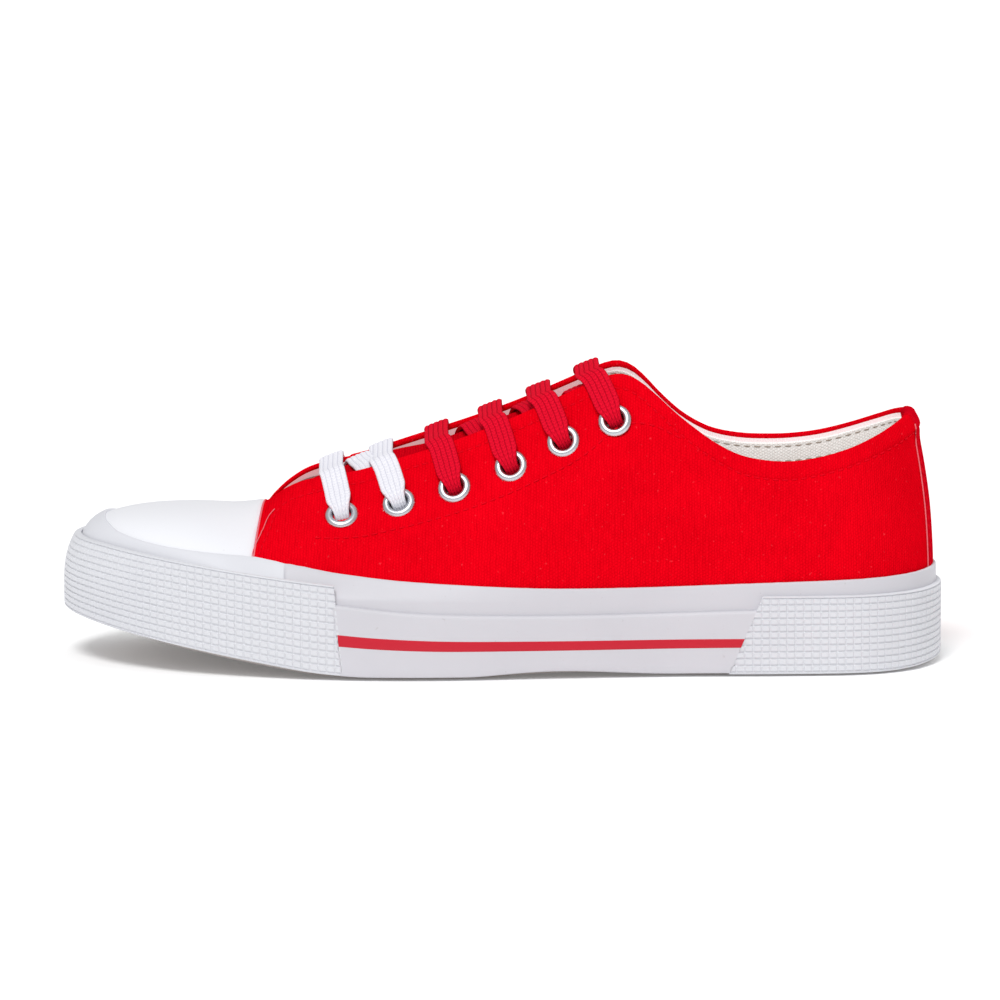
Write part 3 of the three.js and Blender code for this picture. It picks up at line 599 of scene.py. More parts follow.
view = dict(
    distance=2800, elevation=8.6, turn=2.0, lens=327.1, shiftX=-0.0032, shiftY=0.0042,
    aim=(0, 0, 47),
)
cameraData = bpy.data.cameras.new("camera")
cameraData.sensor_width = 36
cameraData.lens = view["lens"]
cameraData.shift_x = view["shiftX"]
cameraData.shift_y = view["shiftY"]
cameraData.clip_end = 50
camera = addObject("camera", cameraData)
turn, rise = math.radians(view["turn"]), math.radians(view["elevation"])
away = Vector((math.sin(turn) * math.cos(rise), -math.cos(turn) * math.cos(rise), math.sin(rise)))
camera.location = (Vector(view["aim"]) + view["distance"] * away) * mm
camera.rotation_euler = (-away).to_track_quat("-Z", "Y").to_euler()
scene.camera = camera
scene.view_settings.view_transform = "Standard"

studio = dict(ambient=0.5, key=1.95, keyFrom=(-0.16, -0.56, 0.81), keySpread=22, floorGlow=0.11,
              fill=0.7, fillFrom=(0.6, 0.7, 0.45), fillSpread=50, floorSize=14)


def softLight(name, toward, strength, spread):
    # a wide far lamp, as an open window or a large soft box gives
    data = bpy.data.lights.new(name, "SUN")
    data.energy = strength
    data.angle = math.radians(spread)
    lamp = addObject(name, data)
    lamp.location = Vector(toward) * 2
    lamp.rotation_euler = (-Vector(toward)).to_track_quat("-Z", "Y").to_euler()


softLight("keyLight", studio["keyFrom"], studio["key"], studio["keySpread"])
softLight("fillLight", studio["fillFrom"], studio["fill"], studio["fillSpread"])
world = bpy.data.worlds.new("studio")
world.use_nodes = True
world.node_tree.nodes["Background"].inputs["Color"].default_value = (1, 1, 1, 1)
world.node_tree.nodes["Background"].inputs["Strength"].default_value = studio["ambient"]
scene.world = world

look = Look("whitePaperSweep")  # white paper, a little lit so that it stays even
paper = look.blend(look.cloud(look.body(), 3.0, 2.0), 0xfbfbfb, 0xfdfdfd)
floorMaterial = look.done(paper, 0.9, Specular_IOR_Level=0.1, Emission_Color=(1, 1, 1, 1),
                          Emission_Strength=studio["floorGlow"])
floorMesh = bmesh.new()
bmesh.ops.create_grid(floorMesh, x_segments=4, y_segments=4, size=studio["floorSize"] / 2)
floorData = meshOf("floor", floorMesh)
floorData.materials.append(floorMaterial)
floorData.transform(Matrix.Translation((0, 0, -0.0002)))
floor = addObject("floor", floorData)
print("camera, light and floor made")


# ---- canvas upper ----

cloth = dict(
    quarterOut=0.35, vampOut=-0.15, inside=-1.8, hem=0.22, hemWidth=3.6, trough=0.26, troughDown=4.4,
    heelRoll=1.0, nearRows=[0, 0.5, 1.1, 1.8, 2.6, 3.3, 3.8, 4.1, 4.4, 4.7, 5.0, 5.6, 6.6, 8.0],
    farRows=34, rimSteps=8, innerRows=22, facingRows=5, creaseGain=2.4, creaseReach=(2.4, 5),
)
stitch = dict(pitch=2.9, length=2.1, radius=0.28, hemRadius=0.3, lift=0.16, fromEdge=2.0,
              liningPitch=3.2, liningLength=2.2, liningRadius=0.25)
cutEdge = dict(ahead=0.2, fromDown=11, sink=0.12, radius=0.16)  # the quarter's pale front edge
binding = dict(rows=(2.6, 7.4), threadOut=0.42, thickness=0.55, edges=(0.1, 0.42), trough=0.22,
               rowWidth=0.4)
# the quarter's front edge: how far along it stands at each height
seam = Table([18, 36, 42, 46, 49.9, 52.1, 54, 56, 58],
             x=[-76.4, -75.2, -72.6, -70.6, -65.8, -59.4, -54.4, -50.6, -48])
# creases: x, z and turn of each one's middle, its half length and width, and how deep it is
lateralCreases = [
    dict(x=-60, z=41, turn=62, length=9, width=2.2, depth=0.35),
    dict(x=-46, z=36.5, turn=20, length=12, width=2.0, depth=0.3),
    dict(x=-38, z=40, turn=14, length=14, width=2.4, depth=0.25),
    dict(x=-20, z=38, turn=30, length=12, width=3.0, depth=0.25),
    dict(x=22, z=60, turn=24, length=16, width=2.4, depth=0.3),
    dict(x=50, z=66, turn=-38, length=10, width=2.6, depth=0.4),
    dict(x=57, z=62, turn=-50, length=11, width=3.0, depth=0.4),
    dict(x=46, z=56, turn=15, length=14, width=4.0, depth=0.3),
    dict(x=84, z=50, turn=-10, length=16, width=5.0, depth=0.3),
    dict(x=104, z=44, turn=70, length=12, width=4.0, depth=0.35),
]
medialCreases = [
    dict(x=-56, z=42, turn=58, length=9, width=2.2, depth=0.35),
    dict(x=-40, z=38, turn=18, length=14, width=2.4, depth=0.3),
    dict(x=-10, z=42, turn=35, length=14, width=3.0, depth=0.3),
    dict(x=30, z=60, turn=20, length=16, width=3.0, depth=0.3),
    dict(x=54, z=58, turn=-42, length=12, width=3.0, depth=0.4),
    dict(x=88, z=48, turn=-15, length=16, width=5.0, depth=0.3),
]


def relief(at, x, z, down, openEdge):
    # how far the cloth stands out from the last: hem, stitched trough, creases and slack
    creases = medialCreases if at.inner else lateralCreases
    made = 0.16 * noise.noise(Vector((x * 0.05, z * 0.07, 3.0 * at.inner)))
    for c in creases:
        turn = math.radians(c["turn"])
        dx, dz = x - c["x"], z - c["z"]
        along = dx * math.cos(turn) + dz * math.sin(turn)
        side = -dx * math.sin(turn) + dz * math.cos(turn)
        farAlong, farAside = cloth["creaseReach"]
        if abs(along) < farAlong * c["length"] and abs(side) < farAside * c["width"]:
            fade = cloth["creaseGain"] * math.exp(-(along / c["length"]) ** 2)
            made -= c["depth"] * fade * math.exp(-(side / c["width"]) ** 2)
            made += 0.5 * c["depth"] * fade * math.exp(-((side - 1.8 * c["width"]) / c["width"]) ** 2)
    if openEdge > 0:
        made += openEdge * cloth["hem"] * (1 - smooth(down, cloth["hemWidth"] - 0.6, cloth["hemWidth"] + 0.9))
        made -= openEdge * cloth["trough"] * math.exp(-((down - cloth["troughDown"]) / 0.5) ** 2)
        made += cloth["heelRoll"] * smooth(x, 104, 124) * math.exp(-((down - 3.0) / 3.2) ** 2)
    return made * smooth(z, 27, 34)


@lru_cache(maxsize=None)
def sectionRun(u):
    # lengths up the section from the foot to the opening
    at, top = place(u), openingStart(u)
    ts = np.linspace(0, top, 33)
    points = [sectionPoint(at, t) for t in ts]
    steps = [math.hypot(b[0] - a[0], b[1] - a[1]) for a, b in zip(points, points[1:])]
    return ts, np.concatenate([[0], np.cumsum(steps)])


def spotDown(u, down):
    # section value at a distance down from the opening
    ts, run = sectionRun(u)
    return float(np.interp(run[-1] - down, run, ts))


def rowDowns(u):
    total = sectionRun(u)[1][-1]
    near = cloth["nearRows"]
    far = [lerp(total, near[-1], f / cloth["farRows"]) for f in range(cloth["farRows"])]
    return far + near[::-1]


def clothPoint(u, down, out):
    at, t = place(u), spotDown(u, down)
    r, z = sectionPoint(at, t)
    p = point(at, r, z)
    edge = smooth(spine.at("throat", p.x), 4, 10) if openingStart(u) < 1 else 0
    return onSection(at, t, out + relief(at, p.x, z, down, edge))


def clothNormal(u, down):
    at = place(u)
    nr, nz = sectionNormal(at, spotDown(u, down))
    return Vector((at.dx * nr, at.dy * nr, nz)).normalized()


def wallRing(downsAt, out, inside):
    # one column of the upper's wall: up the outside, over the rim, down the inside
    us, downs = downsAt
    at = place(us[0])
    foot = point(at, at.canvas + out, soleTop(at.rimX) + shoe["clearance"])
    outer = [foot] + [clothPoint(u, d, out) for u, d in zip(us, downs)]
    topU = us[-1]
    at = place(topU)
    openEdge = openingStart(topU) < 1
    rim = []
    middle, half = (out + inside) / 2, (out - inside) / 2
    if openEdge:
        lift = relief(at, outer[-1].x, outer[-1].z, 0, 1)
        t = openingStart(topU)
        nr, nz = sectionNormal(at, t)
        r0, z0 = sectionPoint(at, t, middle + lift / 2)
        half += lift / 2
        for k in range(1, cloth["rimSteps"]):
            a = math.pi * k / cloth["rimSteps"]
            dr = half * (math.cos(a) * nr - math.sin(a) * nz)
            dz = half * (math.cos(a) * nz + math.sin(a) * nr)
            rim.append(point(at, max(0, r0 + dr), z0 + dz))
    else:
        end = clothPoint(topU, 0, inside)
        rim = [outer[-1].lerp(end, k / cloth["rimSteps"]) for k in range(1, cloth["rimSteps"])]
    inner = []
    for k in range(cloth["innerRows"] + 1):
        j = round((len(downs) - 1) * (1 - k / cloth["innerRows"]))
        u, d = us[j], downs[j]
        inner.append(onSection(place(u), spotDown(u, d), inside))
    at = place(us[0])
    inner.append(point(at, at.canvas + inside, soleTop(at.rimX) + shoe["clearance"]))
    return outer + rim + inner


def wallUv(us, downs, size):
    # cloth coordinates: along the shoe, and up the section from the foot
    made = []
    for u, d in zip(us, downs):
        total = sectionRun(u)[1][-1]
        made.append((runTo(u), 10 + total - d))
    made = [(made[0][0], 0.0)] + made
    last = made[-1]
    while len(made) < size:
        last = (last[0], last[1] + 0.4)
        made.append(last)
    return made


def wallColumns(ends, shares):
    # columns between two edges, each edge given as a place for each row
    start, end = ends
    made = []
    for f in shares:
        us = [round(lerp(a, b, f), 6) for a, b in zip(start, end)]
        made.append((us, [rowDowns(u)[j] for j, u in enumerate(us)]))
    return made


rimFirst = cloth["farRows"] + len(cloth["nearRows"])
rimLast = rimFirst + cloth["rimSteps"]


def seamPlaces(toPlace):
    # where the quarter's front edge crosses each row of the cloth
    made = []
    for j in range(rimFirst):
        def behind(x):
            u = round(toPlace(x), 6)
            z = sectionPoint(place(u), spotDown(u, rowDowns(u)[j]))[1]
            return x > seam.at("x", z)
        made.append(toPlace(bisect(-80, -40, behind, 14)))
    return made


eyeletPlaces = [
    dict(x=-48.5, down=16.4, lean=4.3, rise=-1.5, lift=0.95),
    dict(x=-31, down=16.4, lean=6.3, rise=-1.3, lift=0.95),
    dict(x=-14, down=16.4, lean=6.1, rise=-0.6, lift=1.1),
    dict(x=3.3, down=16.0, lean=6.8, rise=0.5, lift=1.3),
    dict(x=19.3, down=15.6, lean=7.9, rise=0.6, lift=1.35),
    dict(x=35, down=15.2, lean=8.8, rise=1.5, lift=1.35),
]


def eyeletSpot(side, row):
    # a frame on the cloth at an eyelet: its middle, outwards, and up towards the opening
    u = round(lateralAt(row["x"]) if side == "lateral" else medialAt(row["x"]), 6)
    down = row["down"]
    origin = clothPoint(u, down, cloth["quarterOut"])
    normal = clothNormal(u, down)
    beside = clothPoint(round(u + 0.01, 6), down, cloth["quarterOut"]) - origin
    normal = (normal - beside.normalized() * normal.dot(beside.normalized())).normalized()
    up = clothPoint(u, down - 1.0, cloth["quarterOut"]) - origin
    up = (up - normal * up.dot(normal)).normalized()
    return SimpleNamespace(origin=origin, normal=normal, up=up)


def clothPaint(i, j):
    # red outside and over most of the rim; a pale facing under it; the lining inside
    return 0 if j < rimLast else 2 if j < rimLast + cloth["facingRows"] else 1


def punchHole(bm, spot, radius=3.9):
    # opens both faces of the wall under an eyelet and joins the two edges
    origin = spot.origin * mm
    near = []
    for face in bm.faces:
        off = face.calc_center_median() - origin
        deep = off.dot(spot.normal)
        if abs(deep) < 5 * mm and (off - spot.normal * deep).length < radius * mm:
            near.append(face)
    rim = {e for f in near for e in f.edges if any(n not in near for n in e.link_faces)}
    bmesh.ops.delete(bm, geom=near, context="FACES")
    rim = [e for e in rim if e.is_valid and e.is_boundary]
    for face in bmesh.ops.bridge_loops(bm, edges=rim)["faces"]:
        face.material_index = 1


def makeQuarters():
    start = seamPlaces(medialAt)
    end = [6 + v for v in seamPlaces(lateralAt)]
    shares = [0, 0, 0.0006, 0.0016, 0.0032] + list(np.linspace(0.006, 0.994, 290))
    shares += [0.9968, 0.9984, 0.9994, 1, 1]
    outs = [-0.55, -0.05, 0.22, 0.33, 0.35]
    rings, uvs = [], []
    columns = wallColumns((start, end), shares)
    for i, column in enumerate(columns):
        step = min(i, len(columns) - 1 - i)
        out = outs[step] if step < len(outs) else cloth["quarterOut"]
        rings.append(wallRing(column, out, cloth["inside"]))
        uvs.append(wallUv(*column, len(rings[0]) + 1))
    bm = gridOf(rings, closed=True, uvs=uvs, paint=clothPaint)
    for side in ("lateral", "medial"):
        for row in eyeletPlaces:
            punchHole(bm, eyeletSpot(side, row))
    bmesh.ops.recalc_face_normals(bm, faces=bm.faces)
    newPiece("quarters", bm, [redCanvas, liningCanvas, facingCanvas], ["upper"])


def makeVamp():
    xs = list(np.arange(-44, -66, -1.0)) + list(np.arange(-66, -76, -0.35)) + list(np.arange(-76, -84, -1.0))
    places = [lateralAt(x) for x in xs] + list(np.linspace(2, 4, 61)) + [medialAt(x) for x in xs[::-1]]
    places = [round(float(u), 6) for u in places]
    rings, uvs, closedAt = [], [], []
    for u in places:
        column = ([u] * rimFirst, rowDowns(u))
        rings.append(wallRing(column, cloth["vampOut"], cloth["inside"] + 0.1))
        uvs.append(wallUv(*column, len(rings[0]) + 1))
        closedAt.append(openingStart(u) >= 1)

    def drop(i, j):
        return rimFirst <= j < rimLast and closedAt[i] and closedAt[i + 1]

    bm = gridOf(rings, closed=True, uvs=uvs, paint=clothPaint, drop=drop)
    newPiece("vamp", bm, [redCanvas, liningCanvas, facingCanvas])


cap = dict(low=0.1, thickness=0.8, rearTop=-74.4, rearFoot=-75.2, rows=26)


def capRear(f):
    return lerp(cap["rearFoot"], cap["rearTop"], smooth(f, 0, 0.8))


heelTape = dict(halfWidth=9.6, out=0.8, inside=-2.3, heelRadius=31, stitchInset=1.7, edgeSink=0.27,
                edgeRadius=0.2)


def roundHeel(width):
    # a width across the back of the heel as a share of a quarter turn
    return width / heelTape["heelRadius"] / (math.pi / 2)


def makeHeelTape():
    span = roundHeel(heelTape["halfWidth"])
    shares = [0, 0.0, 0.03, 0.08] + list(np.linspace(0.14, 0.86, 22)) + [0.92, 0.97, 1.0, 1]
    rings, uvs = [], []
    for i, f in enumerate(shares):
        u = round(6 + lerp(-span, span, f), 6)
        step = min(i, len(shares) - 1 - i)
        out = heelTape["out"] + [-0.65, -0.2, -0.05, 0][min(step, 3)]
        ring = wallRing(([u] * rimFirst, rowDowns(u)), out, heelTape["inside"] + (0.4 if step == 0 else 0))
        rings.append(ring)
        uvs.append(wallUv([u] * rimFirst, rowDowns(u), len(ring) + 1))
    bm = gridOf(rings, closed=True, uvs=uvs, paint=lambda i, j: 1 if j > rimLast + 1 else 0)
    newPiece("heelTape", bm, [redBinding, liningTape])


def makeCollarBinding():
    # soft tape sewn inside the collar, with a trough at each stitch row
    downs = [1.4, 1.6, 2.0, 2.6, 3.4, 4.2, 5.0, 5.8, 6.6, 7.4, 8.2, 8.8, 9.2, 9.5]
    places = placesBetween(medialAt(30), 6 + lateralAt(30), 1.6)
    rings = []
    for u in places:
        at = place(u)
        ring = []
        for k, d in enumerate(downs):
            edge = min(k, len(downs) - 1 - k)
            thick = binding["thickness"] if edge > 1 else binding["edges"][edge]
            thick -= binding["trough"] * sum(math.exp(-((d - row) / binding["rowWidth"]) ** 2)
                                             for row in binding["rows"])
            ring.append(onSection(at, spotDown(u, d), cloth["inside"] - thick))
        for d in (downs[-1], downs[0]):
            ring.append(onSection(at, spotDown(u, d), cloth["inside"] + 0.1))
        rings.append(ring)
    bm = gridOf(rings, closed=True)
    newPiece("collarBinding", bm, [liningTape])


def threadRow(bm, spots, pitch=stitch["pitch"], length=stitch["length"], radius=stitch["radius"]):
    # stitches of one size along a row of places on the cloth
    path = [s[0] for s in spots]
    runs = runsOf(path)
    for k in range(int(runs[-1] / pitch)):
        middle = (k + 0.5) * pitch
        i = min(int(np.searchsorted(runs, middle)), len(path) - 1)
        f = (middle - runs[i - 1]) / max(runs[i] - runs[i - 1], 1e-6)
        ahead = (path[i] - path[i - 1]).normalized()
        side = spots[i][1].cross(ahead).normalized()
        up = ahead.cross(side)
        basis = frameAt(path[i - 1].lerp(path[i], f), ahead * length / 2, side * radius, up * radius * 0.75)
        bmesh.ops.create_uvsphere(bm, u_segments=7, v_segments=5, radius=1, matrix=basis)


def clothSpot(u, down, out):
    return clothPoint(u, down, out), clothNormal(u, down)


def xOf(u):
    at = place(u)
    return at.x if at.dx == 0 else at.rimX


eyestay = Table([-58, -48, -24, 8, 26, 38, 48, 58], down=[26, 25.5, 25.5, 24.5, 23, 16, 8.8, 4.2])


def makeThreads():
    reds, pales, browns = bmesh.new(), bmesh.new(), bmesh.new()
    lift = cloth["quarterOut"] + stitch["lift"]
    hemPlaces = placesBetween(medialAt(-48), 6 + lateralAt(-48), 2.0)
    threadRow(reds, [clothSpot(u, cloth["troughDown"], lift) for u in hemPlaces], radius=stitch["hemRadius"])
    for side in (lateralAt, medialAt):
        places = [round(side(x), 6) for x in np.arange(-57, 58, 1.5)]
        threadRow(reds, [clothSpot(u, eyestay.at("down", xOf(u)), lift) for u in places])
    # along the quarter's front edge: a row of stitches behind it, and its pale cut edge
    for toPlace, way in ((lateralAt, -1), (medialAt, 1)):
        spots, path = [], []
        for j, u in enumerate(seamPlaces(toPlace)):
            v = round(u + way * stitch["fromEdge"] / sideLength, 6)
            if rowDowns(v)[j] > 1:
                spots.append(clothSpot(v, rowDowns(v)[j], lift))
            v = round(u - way * cutEdge["ahead"] / sideLength, 6)
            if rowDowns(v)[j] > cutEdge["fromDown"]:
                path.append(clothPoint(v, rowDowns(v)[j], cloth["quarterOut"] - cutEdge["sink"]))
        threadRow(reds, spots)
        tube(pales, path, cutEdge["radius"])
    # down the heel tape: a pale line along its edge, partly the tape's pale seam edge and partly a painted
    # highlight where the rounded edge catches the light, and a row of stitches inside it
    for sign in (-1, 1):
        for inset in (0.0, heelTape["stitchInset"]):
            u = round(6 + roundHeel(sign * (heelTape["halfWidth"] - inset)), 6)
            downs = np.arange(sectionRun(u)[1][-1] - 3, 2, -1.5)
            spots = [clothSpot(u, d, heelTape["out"] + 0.1) for d in downs]
            if inset:
                threadRow(reds, spots)
            else:
                tube(pales, [p - n * heelTape["edgeSink"] for p, n in spots], heelTape["edgeRadius"])
    lining = placesBetween(medialAt(32), 6 + lateralAt(32), 2.0)
    for row in binding["rows"]:
        out = cloth["inside"] - binding["threadOut"]
        spots = [(onSection(place(u), spotDown(u, row), out), -clothNormal(u, row)) for u in lining]
        threadRow(browns, spots, stitch["liningPitch"], stitch["liningLength"], stitch["liningRadius"])
    # the pale line at the toe cap's rear edge
    for toPlace in (lateralAt, medialAt):
        path = []
        for f in np.linspace(0, 1, 40):
            at = place(round(toPlace(capRear(f) + 0.35), 6))
            t = lerp(sectionAtHeight(at, stripTops.at("band", at.rimX) - 2.5), 1, f)
            path.append(onSection(at, t, 0.1))
        tube(pales, path, 0.3)
    newPiece("redStitches", reds, [redThread])
    newPiece("paleStitches", pales, [paleThread])
    newPiece("liningStitches", browns, [brownThread])


makeQuarters()
makeVamp()
makeHeelTape()
makeCollarBinding()
makeThreads()
print("upper made")


# ---- rubber: cap, band, tapes, strips ----

def makeToeCap():
    low, thick = cap["low"], cap["thickness"]
    shares = [0, 0.0012, 0.003, 0.006] + list(np.linspace(0.01, 0.99, 150)) + [0.994, 0.997, 0.9988, 1]
    grow = [0, 0.55, 0.85, 0.97]
    rings = []
    for i, f in enumerate(shares):
        step = min(i, len(shares) - 1 - i)
        high = low + thick * (grow[step] if step < len(grow) else 1)
        outer, inner = [], []
        for k in range(cap["rows"] + 1):
            g = k / cap["rows"]
            rear = capRear(g)
            u = round(lerp(lateralAt(rear), medialAt(rear), f), 6)
            at = place(u)
            start = sectionAtHeight(at, stripTops.at("band", at.rimX) - bandDrop.at("down", at.rimX) - 1.5)
            t = lerp(start, 1, g)
            outer.append(onSection(at, t, high))
            inner.append(onSection(at, t, low))
        rings.append(inner + outer[::-1])
    size = cap["rows"] + 1
    bm = gridOf(rings, closed=True, drop=lambda i, j: j == size - 1)
    newPiece("toeCap", bm, [capRubber], ["toe_cap"])


band = dict(lift=0.9, round=0.5, rows=12, seamX=-65, seamDepth=0.3)
# how far the band's rounded edge stands under its full height
bandDrop = Table([-136, -131, -124, -112, -100, -88, -76, -66, -48, 0, 80, 136],
                 down=[0.4, 1.4, 2.8, 3.4, 3.1, 2.3, 1.5, 1.2, 1.2, 1.0, 0.9, 0.9])


def makeBand():
    # places a little closer where the band's two ends meet
    near = [lateralAt(band["seamX"] + d) for d in (-0.7, -0.3, -0.12, 0, 0.12, 0.3, 0.7)]
    places = sorted(set(placesBetween(0, 6, 2.2)[:-1] + [round(u, 6) for u in near]))
    rings = []
    for u in places:
        at = place(u)
        out = shoe["bandGap"] + bandThicknessAt(at)
        seamCut = band["seamDepth"] * math.exp(-((xOf(u) - band["seamX"]) / 0.18) ** 2) if not at.inner else 0
        ragged = 0.22 * noise.noise(Vector((runTo(u) * 0.35, 7.0, 0)))
        ragged *= 0.3 + smooth(-abs(at.rimX + 68), -14, -6)
        top = stripTops.at("band", at.rimX) - bandDrop.at("down", at.rimX) + ragged
        foot = bottom(at.rimX) + band["lift"]
        r = band["round"]
        ring = [point(at, at.canvas + out, foot)]
        tTop = sectionAtHeight(at, top)
        ring += [onSection(at, tTop * k / band["rows"], out - seamCut) for k in range(band["rows"])]
        nr, nz = sectionNormal(at, tTop)
        middle = shoe["bandGap"] + bandThicknessAt(at) / 2
        r0, z0 = sectionPoint(at, tTop, middle)
        half = bandThicknessAt(at) / 2
        for a in (0, 22, 45, 68, 90, 120, 150, 180):
            c, s = math.cos(math.radians(a)), math.sin(math.radians(a))
            dr = half * (c * nr) - r * s * nz
            dz = half * (c * nz) + r * s * nr
            ring.append(point(at, r0 + dr, z0 + dz))
        ring.append(onSection(at, tTop * 0.4, shoe["bandGap"]))
        ring.append(point(at, at.canvas + shoe["bandGap"], foot))
        rings.append(ring)
    # ahead of the seam the band takes the bumper rubber, painted lighter for the light on the upward-facing
    # toe
    bm = gridOf(rings, wrap=True, closed=True, sharpAt=60,
                paint=lambda i, j: 1 if rings[i][0].x < band["seamX"] else 0)
    newPiece("foxingBand", bm, [foxingRubber, bumperRubberWithPaintedLight], ["foxing_band"])


tapePlan = dict(lift=0.9, topRound=1.1, footRound=0.5)
stripeLine = Table([-52, -38, -20, 0, 40, 76], z=[12.5, 11.4, 10.6, 10.3, 10.1, 10.2])
stripeHalf = Table([-52, 0, 76], z=[1.8, 1.5, 1.35])


def heelPatchFront(z):
    return 69.8 + 10.6 * z / 24.6


def toeStripRear(z):
    return -46.8 - 2.45 * z / 24


def tapeRing(toPlace, f, top, foot):
    # one section of tape, with each point's own place, so that both ends can slant
    r = tapePlan["topRound"]

    def spot(z, inset):
        at = place(round(toPlace(lerp(toeStripRear(z) - 0.8, heelPatchFront(z) + 0.2, f)), 6))
        return point(at, stripRadius(at, z) - inset, z)

    ring = [spot(foot, 0.5), spot(foot + 0.15, 0.12), spot(foot + tapePlan["footRound"], 0)]
    ring += [spot(lerp(foot + tapePlan["footRound"], top - r, k / 8), 0) for k in range(1, 8)]
    for a in (0, 20, 40, 60, 80, 90):
        c, s = math.cos(math.radians(a)), math.sin(math.radians(a))
        ring.append(spot(top - r + r * s, r * (1 - c)))
    ring.append(spot(top, shoe["tapeThickness"] + 0.4))
    ring.append(spot(foot, shoe["tapeThickness"] + 0.4))
    return ring


def makeTape(name, toPlace, node):
    rings = []
    for f in np.linspace(0, 1, 90):
        x = lerp(-49.5, 78, f)
        rings.append(tapeRing(toPlace, f, stripTops.at("tape", x), bottom(x) + tapePlan["lift"]))
    bm = gridOf(rings, closed=True, sharpAt=50)
    newPiece(name, bm, [foxingRubber], [node])


def makeStripe(name, toPlace):
    rings = []
    for f in np.linspace(0, 1, 100):
        x = lerp(-49, 74, f)
        middle, half = stripeLine.at("z", x), stripeHalf.at("z", x)
        ring = []
        for share, out in ((-1, -0.3), (-1, 0.02), (-0.9, 0.1), (-0.4, 0.14),
                           (0.4, 0.14), (0.9, 0.1), (1, 0.02), (1, -0.3)):
            z = middle + half * share
            at = place(round(toPlace(lerp(toeStripRear(z) - 0.4, heelPatchFront(z) + 0.1, f)), 6))
            ring.append(point(at, stripRadius(at, z) + out, z))
        rings.append(ring)
    bm = gridOf(rings, closed=True, sharpAt=60)
    newPiece(name, bm, [stripeRubber])


# the raised cells: where each one's edges stand in its row and column, how high, and how deep between
cells = dict(columnPitch=2.57, rowStops=[0, 0.05, 0.26, 0.86, 0.95], columnStops=[0, 0.05, 0.15, 0.87, 0.95],
             heights=[0, 0, 1, 1, 0], rowDepth=0.42, columnDepth=0.26)


def cellRows(count, start, pitch, within):
    # positions across one direction of the raised pattern, and how high each one is
    stops = [start + (k + s) * pitch for k in range(count) for s in within]
    return stops + [start + count * pitch], cells["heights"] * count + [0]


def texturedStrip(name, startX, endX, rowCount, lift, node):
    # raised rounded rectangles in rows along the strip; the slanting ends cut through them
    firstU, lastU = min(startX(0), startX(25)), max(endX(0), endX(25))
    length = runTo(lastU) - runTo(firstU)
    count = round(length / cells["columnPitch"])
    stops, heights = cellRows(count, 0, length / count, cells["columnStops"])
    rings = []
    for i, (run, across) in enumerate(zip(stops, heights)):
        middle = placeAtRun(runTo(firstU) + run)
        foot, top = bottom(middle.rimX) + lift, stripTops.at("strip", middle.rimX)

        def spot(z, inset, column=1.0):
            start, end = runTo(startX(z)), runTo(endX(z))
            here = min(max(runTo(firstU) + run, start), end)
            border = min(here - start, end - here) < 0.6 or i in (0, len(stops) - 1)
            deep = max(inset, 0 if border else cells["columnDepth"] * (1 - column))
            at = placeAtRun(here)
            return point(at, stripRadius(at, z) - deep, z)

        rows, rowHeights = cellRows(rowCount, foot + 0.7, (top - foot - 1.3) / rowCount, cells["rowStops"])
        ring = [spot(foot, 0.9), spot(foot + 0.15, 0.3), spot(foot + 0.5, 0.08)]
        ring += [spot(z, cells["rowDepth"] * (1 - up), across) for z, up in zip(rows, rowHeights)]
        ring += [spot(top - 0.35, 0.06), spot(top - 0.1, 0.3), spot(top, 0.75)]
        ring += [spot(top, shoe["tapeThickness"] + 0.6), spot(foot, shoe["tapeThickness"] + 0.6)]
        rings.append(ring)
    bm = gridOf(rings, closed=True, sharpAt=34)
    newPiece(name, bm, [stripRubber], [node])


makeToeCap()
makeBand()
makeTape("outerTape", lateralAt, "foxing_tape_lateral")
makeTape("innerTape", medialAt, "foxing_tape_medial")
makeStripe("outerStripe", lateralAt)
makeStripe("innerStripe", medialAt)
texturedStrip("toeStrip", lambda z: lateralAt(toeStripRear(z)), lambda z: medialAt(toeStripRear(z)),
              rowCount=12, lift=1.0, node="toe_strip")
texturedStrip("heelPatch", lambda z: medialAt(heelPatchFront(z)), lambda z: 6 + lateralAt(heelPatchFront(z)),
              rowCount=11, lift=0.5, node="heel_patch")
print("rubber made")


# ---- insole, tongue, eyelets and laces ----

def makeInsole():
    rings, uvs = [], []
    for u in placesBetween(0, 6, 3.0)[:-1]:
        at = place(u)
        side = at.canvas - shoe["canvasWall"] - 0.5
        ring = []
        for f in np.linspace(0, 1, 22):
            r = side * f
            x = at.x + at.dx * r
            dish = 1.3 * f ** 6 + 0.15 * noise.noise(Vector((x * 0.03, (at.y + at.dy * r) * 0.05, 0)))
            ring.append(point(at, r, soleTop(x) + shoe["clearance"] + shoe["insoleThickness"] - 0.4 + dish))
        ring.append(point(at, side, soleTop(at.x + at.dx * side) + shoe["clearance"]))
        rings.append(ring)
        uvs.append([(p.x, p.y) for p in ring])
    uvs.append(uvs[0])
    bm = gridOf(rings, wrap=True, uvs=uvs)
    newPiece("insoleSheet", bm, [sockCanvas], ["insole"])


def canvasHeight(x, offset):
    at = place(round(lateralAt(x) if offset < 0 else medialAt(x), 6))
    return sectionPoint(at, sectionAtRadius(at, abs(offset)))[1]


tongue = dict(frontX=-80, rearX=36.5, frontHalf=14, rearHalf=24, drop=2.4, midDrop=1.8, rearDrop=4.0,
              sink=0.62, thickness=1.9, corner=7, rows=35, bulge=0.5, waves=0.25, stitchIn=3.2)


def tongueTop(x, offset):
    sink = tongue["sink"] * spine.at("throat", x)
    out = math.copysign(math.hypot(offset, sink), offset or 1)
    drop = tongue["drop"] + tongue["midDrop"] * smooth(x, -36, -20) + tongue["rearDrop"] * smooth(x, 8, 34)
    return canvasHeight(x, out) - shoe["canvasWall"] - drop


